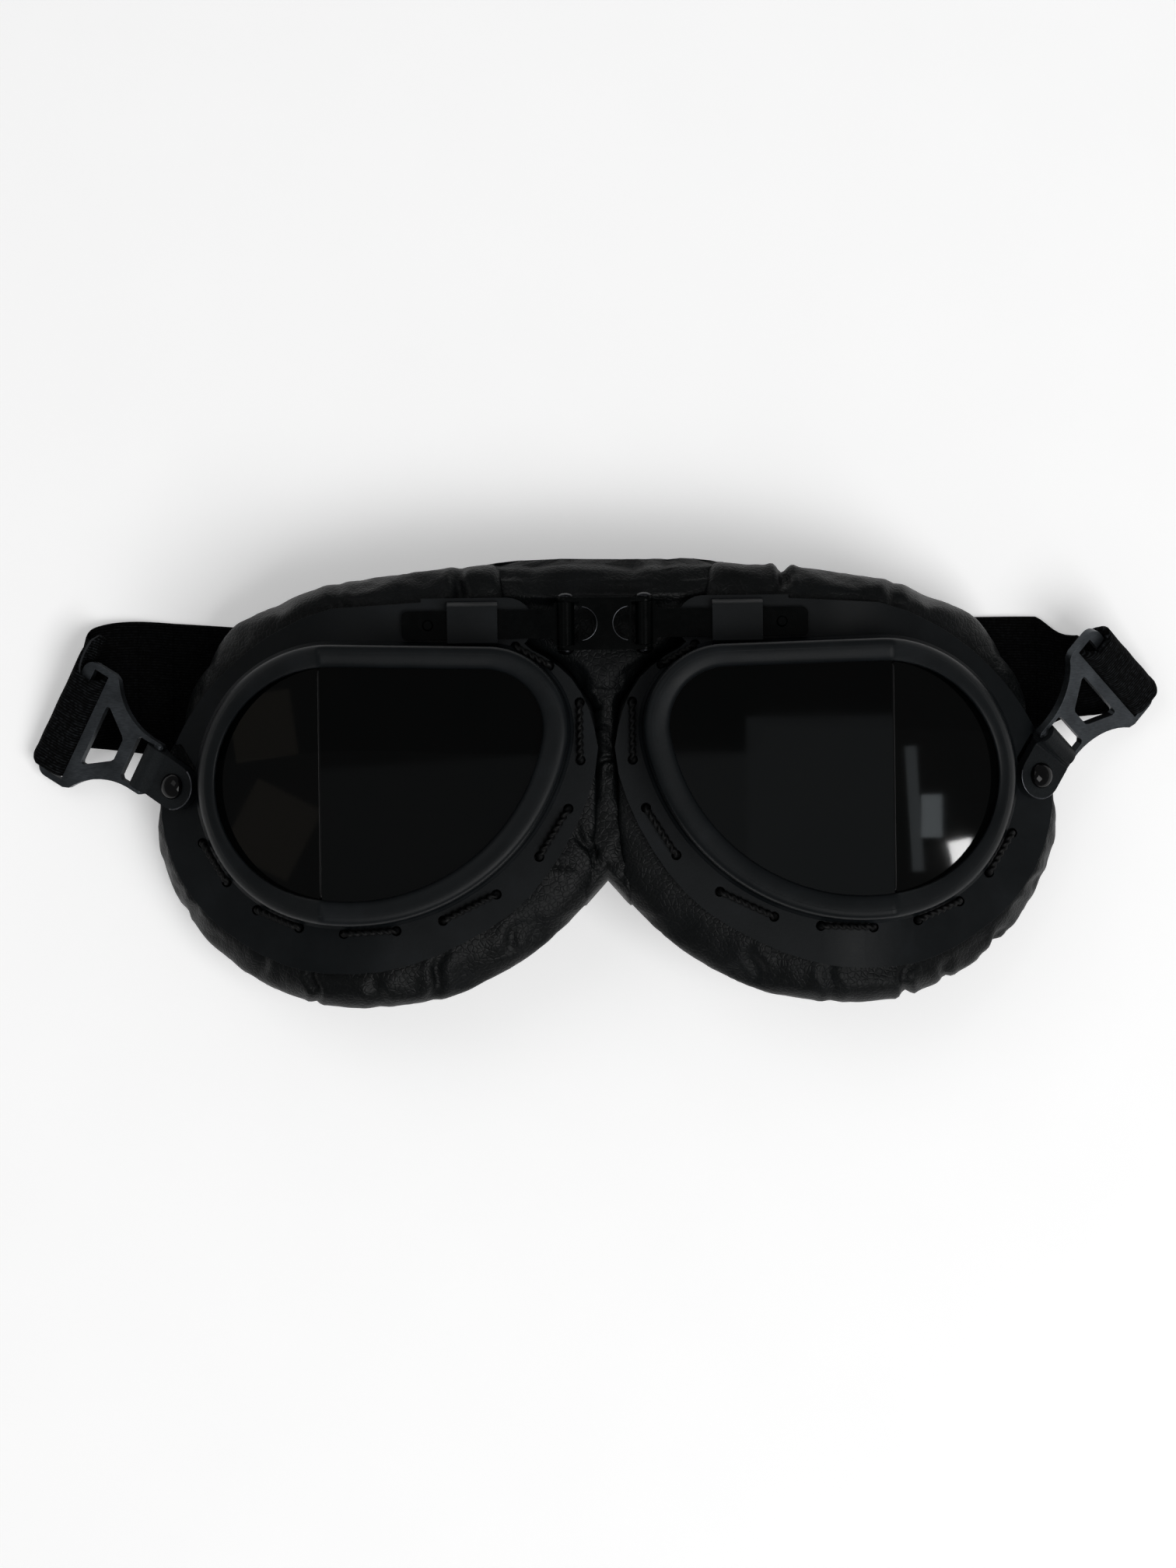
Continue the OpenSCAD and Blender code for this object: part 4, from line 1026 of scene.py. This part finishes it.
class GOGGLES_OT_bridge_hardware(bpy.types.Operator):
    """Bridge plate, hinge pins and strap plates in black enamel, with the rivets' lacquered caps"""
    bl_idname = "goggles.bridge_hardware"
    bl_label = "Bridge hardware"

    def execute(self, context):
        rounded_copy("bridge_plate", "hinge_bridge", "enamel", 0.16, 35, 2, "bridge")
        for side, name in SIDES:
            # a steel arc painted as the highlight on the half-round window's edge
            highlight_arc(f"window_edge_highlight_{name}", side, WINDOW_R - 0.03, 0.09, range(96, 265, 6),
                     lambda x, y, z: Vector((WINDOW_X + x, BRIDGE_Y + y, BRIDGE_TOP - 0.02 + z)), "bridge")
            rounded_copy(f"strap_plate_{name}", f"side_plate_{name}", "enamel", 0.16, 35, 2,
                         f"plate_{name}")
            rounded_copy(f"hinge_pin_{name}", f"bridge_pin_{name}", "blued", 0.08, 60, 2,
                         "bridge")
            rounded_copy(f"rivet_{name}", f"tab_rivet_{name}", "gloss", 0.1, 60, 2,
                         f"cup_{name}")
        rounded_copy("slider", "strap_slider", "gunmetal", 0.3, 35, 3, "slider")
        return {"FINISHED"}


class GOGGLES_OT_tabs(bpy.types.Operator):
    """Leather tabs folded round the buckles' bars, each with a steel arc painted as the highlight along its
    round end
    """
    bl_idname = "goggles.tabs"
    bl_label = "Tabs"

    def execute(self, context):
        for i, (side, name) in enumerate(SIDES):
            rounded_copy(f"tab_{name}", f"leather_tab_{name}", "tab", 0.35, 28, 3,
                         f"tab_{name}")
            # a steel arc painted as the highlight along the tab's round end
            highlight_arc(f"tab_wire_{name}", side, TAB_W / 2 - 0.02, 0.17, range(110, 251, 5),
                     lambda x, y, z: tab_point((x, y, 2 * TAB_T + 0.02 + z), i), f"tab_{name}")
        return {"FINISHED"}


class GOGGLES_OT_buckles(bpy.types.Operator):
    """Stamped buckles in gunmetal plate, with rolled edges"""
    bl_idname = "goggles.buckles"
    bl_label = "Buckles"

    def execute(self, context):
        for _, name in SIDES:
            rounded_copy(f"buckle_{name}", f"stamped_buckle_{name}", "gunmetal", 0.42, 35, 3,
                         f"buckle_{name}")
        return {"FINISHED"}


# ---- Strap
# Share of the half width at the loop's upper edge, stop by stop from the slot round the fold
LOOP_MOUTH = (
    ((0, 1), (5, 0.92), (11, 0.82), (15, 0.85), (18, 0.95), (22, 1.18), (26, 1.42), (31, 1.55), (36, 1.56)),
    ((0, 1), (5, 0.9), (11, 0.78), (15, 0.79), (19, 0.85), (24, 0.88), (30, 0.87), (36, 0.95)))
# How the run's low and high edges draw in or spread on the way from the buckle to the table
RUN_SPREAD = (
    (((0, 0.96), (0.15, 0.97), (0.35, 1.04), (0.6, 1.21), (1, 1.36)),
     ((0, 1.56), (0.1, 1.22), (0.25, 1.05), (0.45, 1.01), (0.7, 1.06), (1, 1.06))),
    (((0, 1.06), (0.15, 0.95), (0.35, 0.69), (0.6, 0.67), (0.85, 0.88), (1, 1.08)),
     ((0, 0.98), (0.1, 0.91), (0.25, 0.83), (0.45, 0.76), (0.7, 0.77), (1, 1.05))))
# How soon the elastic on the table is back at its full width, as a multiple of its length
SPREAD_END = (1.3, 5)
# Steps of the run and of the elastic on the table, and the step at which each is cut in two
RUN_STEPS, RUN_CUT, FLAT_STEPS, FLAT_CUT = 44, 34, 60, 30
ACROSS, UP = Vector((0, 1, 0)), Vector((0, 0, 1))


def strip(name, stops, finish, side):
    """Flat elastic through stops of centre, width direction, upward direction and shares of the half
    width at its low and high edge; its edges are rolled over and its ribs stand up a little."""
    half, r, steps = STRAP_W / 2, STRAP_T / 2, 22
    plain_edge, edge_lift, rib_lift, rib_turn = 2, 1.08, 0.05, 7
    level = [(STRAP_W - STRAP_T) * i / steps for i in range(steps + 1)]

    def rolled(x, turns):
        return [(x + r * c, r * sn) for c, sn in map(cos_sin, turns)]
    profile = ([(-half + r + d, r) for d in level] + rolled(half - r, (60, 30, 0, -30, -60))
               + [(half - r - d, -r) for d in level] + rolled(r - half, (240, 210, 180, 150, 120)))
    rows, uv, run = [], [], 0.0
    for i, (p, w, up, shares) in enumerate(stops):
        run += (p - stops[i - 1][0]).length if i else 0
        rows.append([])
        for u, h in profile:
            rib = 1 + rib_lift * math.sin(u * rib_turn) if abs(u) < half - plain_edge else edge_lift
            share = shares[0] if u < 0 else shares[1]
            rows[-1].append(p + w * u * share + up * h * rib)
            uv.append((run, u * share))
    return mesh_piece(name, rows, finish, side, uv=uv)


def run_stops(i, count):
    """Elastic from the fold of the buckle's loop down behind the cup to the table."""
    p0 = buckle_point((FOLD_START - FOLD_LAP - RUN_GAP, 0, -BUCKLE_T / 2 - LOOP_GAP - STRAP_T / 2), i)
    w0, up0 = buckle_way((0, 1, 0), i), buckle_way((0, 0, 1), i)
    p3 = Vector((TABLE_X, STRAP_RISE[i], LAYER_Z))
    p1, p2 = p0 + Vector(RUN_PULL[i][0]), p3 + Vector(RUN_PULL[i][1])
    untwist, blur = 1.6, 0.07
    out = []
    for k in range(count + 1):
        t = k / count
        u = 1 - t
        f = smooth(min(1, t * untwist))
        w = w0.lerp(ACROSS, f).normalized()
        up = up0.lerp(UP, f)
        out.append((u ** 3 * p0 + 3 * u * u * t * p1 + 3 * u * t * t * p2 + t ** 3 * p3, w,
                    (up - up.dot(w) * w).normalized(),
                    [sum(lookup(t + d, table) for d in (-blur, 0, blur)) / 3 for table in RUN_SPREAD[i]]))
    return out


def table_stops(i, count):
    """Elastic that lies on the table, from the end of its run to the middle."""
    corners = [Vector((TABLE_X, STRAP_RISE[i], LAYER_Z))] + [Vector(p) for p in RUN_END[i]]
    lengths = [(b - a).length for a, b in zip(corners, corners[1:])]
    begin = [(2 * table[-1][1] + lookup(0.93, table)) / 3 for table in RUN_SPREAD[i]]
    out = []
    for k in range(count + 1):
        d = sum(lengths) * k / count
        shares = [mix(share, 1, smooth(min(1, k / count * SPREAD_END[i]))) for share in begin]
        for a, b, l in zip(corners, corners[1:], lengths):
            if d <= l or b is corners[-1]:
                out.append((a.lerp(b, min(1, d / l)), ACROSS, UP, shares))
                break
            d -= l
    return out


def middle_stops(count):
    """The strap's middle, with the corners of its lapped end cut round."""
    out = []
    for k in range(count + 1):
        x = mix(-CENTER_HALF, LAP_END, k / count)
        short = min(CORNER, max(0, x - LAP_END + CORNER))
        share = 1 - (CORNER - math.sqrt(max(0, CORNER ** 2 - short ** 2))) / (STRAP_W / 2)
        out.append((Vector((x, STRAP_Y, LAYER_Z)), ACROSS, UP, (share, share)))
    return out


def loop_stops(i):
    """The loop of elastic, in at the slot, round the outer bar and back underneath; and its two edges."""
    r, drawn_in, seam = BUCKLE_T / 2 + LOOP_GAP + STRAP_T / 2, 0.12, 0.35
    start = ELASTIC_IN + r + 0.75
    line = [(start, t) for t in range(205, 90, -14)]
    line += [(mix(start, FOLD_START, k / 6), 90) for k in range(6)]
    line += [(FOLD_START, t) for t in range(90, -91, -9)] + [(FOLD_START - FOLD_LAP, -90)]
    across = buckle_way((0, 1, 0), i)
    # its upper edge gapes open like a mouth over the bar's end, its lower one is drawn in at the fold
    stops, edge = [], []
    for k, (x, t) in enumerate(line):
        c, sn = cos_sin(t)
        shares = (1 - drawn_in * max(0, c) ** 2, lookup(k, LOOP_MOUTH[i]))
        stops.append((buckle_point((x + r * c, 0, r * sn), i), across, buckle_way((c, 0, sn), i), shares))
        edge.append((x + r * c, [share * STRAP_W / 2 - seam for share in shares], r * sn))
    return stops, edge


def elastic(name, stops, side, bodies, node_name=None, yarn="knit"):
    """One length of elastic; with one body it rides that body, with two it stays where it is made."""
    ob = strip(name, stops, yarn, side)
    if len(bodies) == 1:
        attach(ob, bodies[0])
    else:
        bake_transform(ob)
    if node_name:
        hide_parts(node_name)


class GOGGLES_OT_strap(bpy.types.Operator):
    """Knitted elastic: loops round the buckles, runs behind the cups and the lapped ends under the brow"""
    bl_idname = "goggles.strap"
    bl_label = "Strap"

    def execute(self, context):
        sizes = context.scene.goggles_sizes
        tree = overlock_tree()
        for i, (side, name) in enumerate(SIDES):
            plate, cup, tab, buckle = (f"{body}_{name}" for body in ("plate", "cup", "tab", "buckle"))
            stops, edge = loop_stops(i)
            elastic(f"elastic_loop_{name}", stops, side, [buckle], f"strap_loop_{name}", "crepe")
            for high, label in ((1, "upper"), (0, "lower")):
                path = [buckle_point((x, (2 * high - 1) * y[high], z), i) for x, y, z in edge[3:-3]]
                stitch = run_tree(path_object([soften(path, 1)], side), tree, f"overlock_{label}_{name}",
                                  {"Pitch": sizes.stitch_pitch, "Seed": 3 + i}, material("thread"))
                settle(stitch, buckle)
            # the rest is a chain of lengths, each between two bodies that one joint links
            run, flat = run_stops(i, RUN_STEPS), table_stops(i, FLAT_STEPS)
            elastic(f"elastic_run_{name}", run[:RUN_CUT + 1], side, [buckle, tab], f"strap_run_{name}")
            elastic(f"elastic_turn_{name}", run[RUN_CUT:], side, [tab, cup])
            elastic(f"elastic_flat_{name}", flat[:FLAT_CUT + 1], side, [cup, plate])
            elastic(f"elastic_inner_{name}", flat[FLAT_CUT:], side, [plate, "bridge"])
        elastic("elastic_middle", middle_stops(FLAT_STEPS), 1, ["bridge"], "strap_center")
        return {"FINISHED"}


# ---- Panel and start
OPERATORS = (GOGGLES_OT_stage, GOGGLES_OT_cups, GOGGLES_OT_lenses, GOGGLES_OT_cushions,
             GOGGLES_OT_bridge_leather, GOGGLES_OT_laces, GOGGLES_OT_bridge_hardware, GOGGLES_OT_tabs,
             GOGGLES_OT_buckles, GOGGLES_OT_strap)


class GOGGLES_PT_panel(bpy.types.Panel):
    """Lists the steps that dress the goggles, and their sizes and colours"""
    bl_idname = "GOGGLES_PT_panel"
    bl_label = "Riding Goggles"
    bl_space_type = "VIEW_3D"
    bl_region_type = "UI"
    bl_category = "Goggles"

    def draw(self, context):
        column = self.layout.column()
        for op in OPERATORS:
            column.operator(op.bl_idname)
        for group in (context.scene.goggles_sizes, context.scene.goggles_colours):
            for key in group.__annotations__:
                column.prop(group, key)


CLASSES = (GogglesSizes, GogglesColours) + OPERATORS + (GOGGLES_PT_panel,)


def register():
    for cls in CLASSES:
        bpy.utils.register_class(cls)
    bpy.types.Scene.goggles_sizes = bpy.props.PointerProperty(type=GogglesSizes)
    bpy.types.Scene.goggles_colours = bpy.props.PointerProperty(type=GogglesColours)


def unregister():
    del bpy.types.Scene.goggles_colours
    del bpy.types.Scene.goggles_sizes
    for cls in reversed(CLASSES):
        bpy.utils.unregister_class(cls)


def main():
    register()
    for op in OPERATORS:
        getattr(bpy.ops.goggles, op.bl_idname.split(".")[1])()


if __name__ == "__main__":
    main()
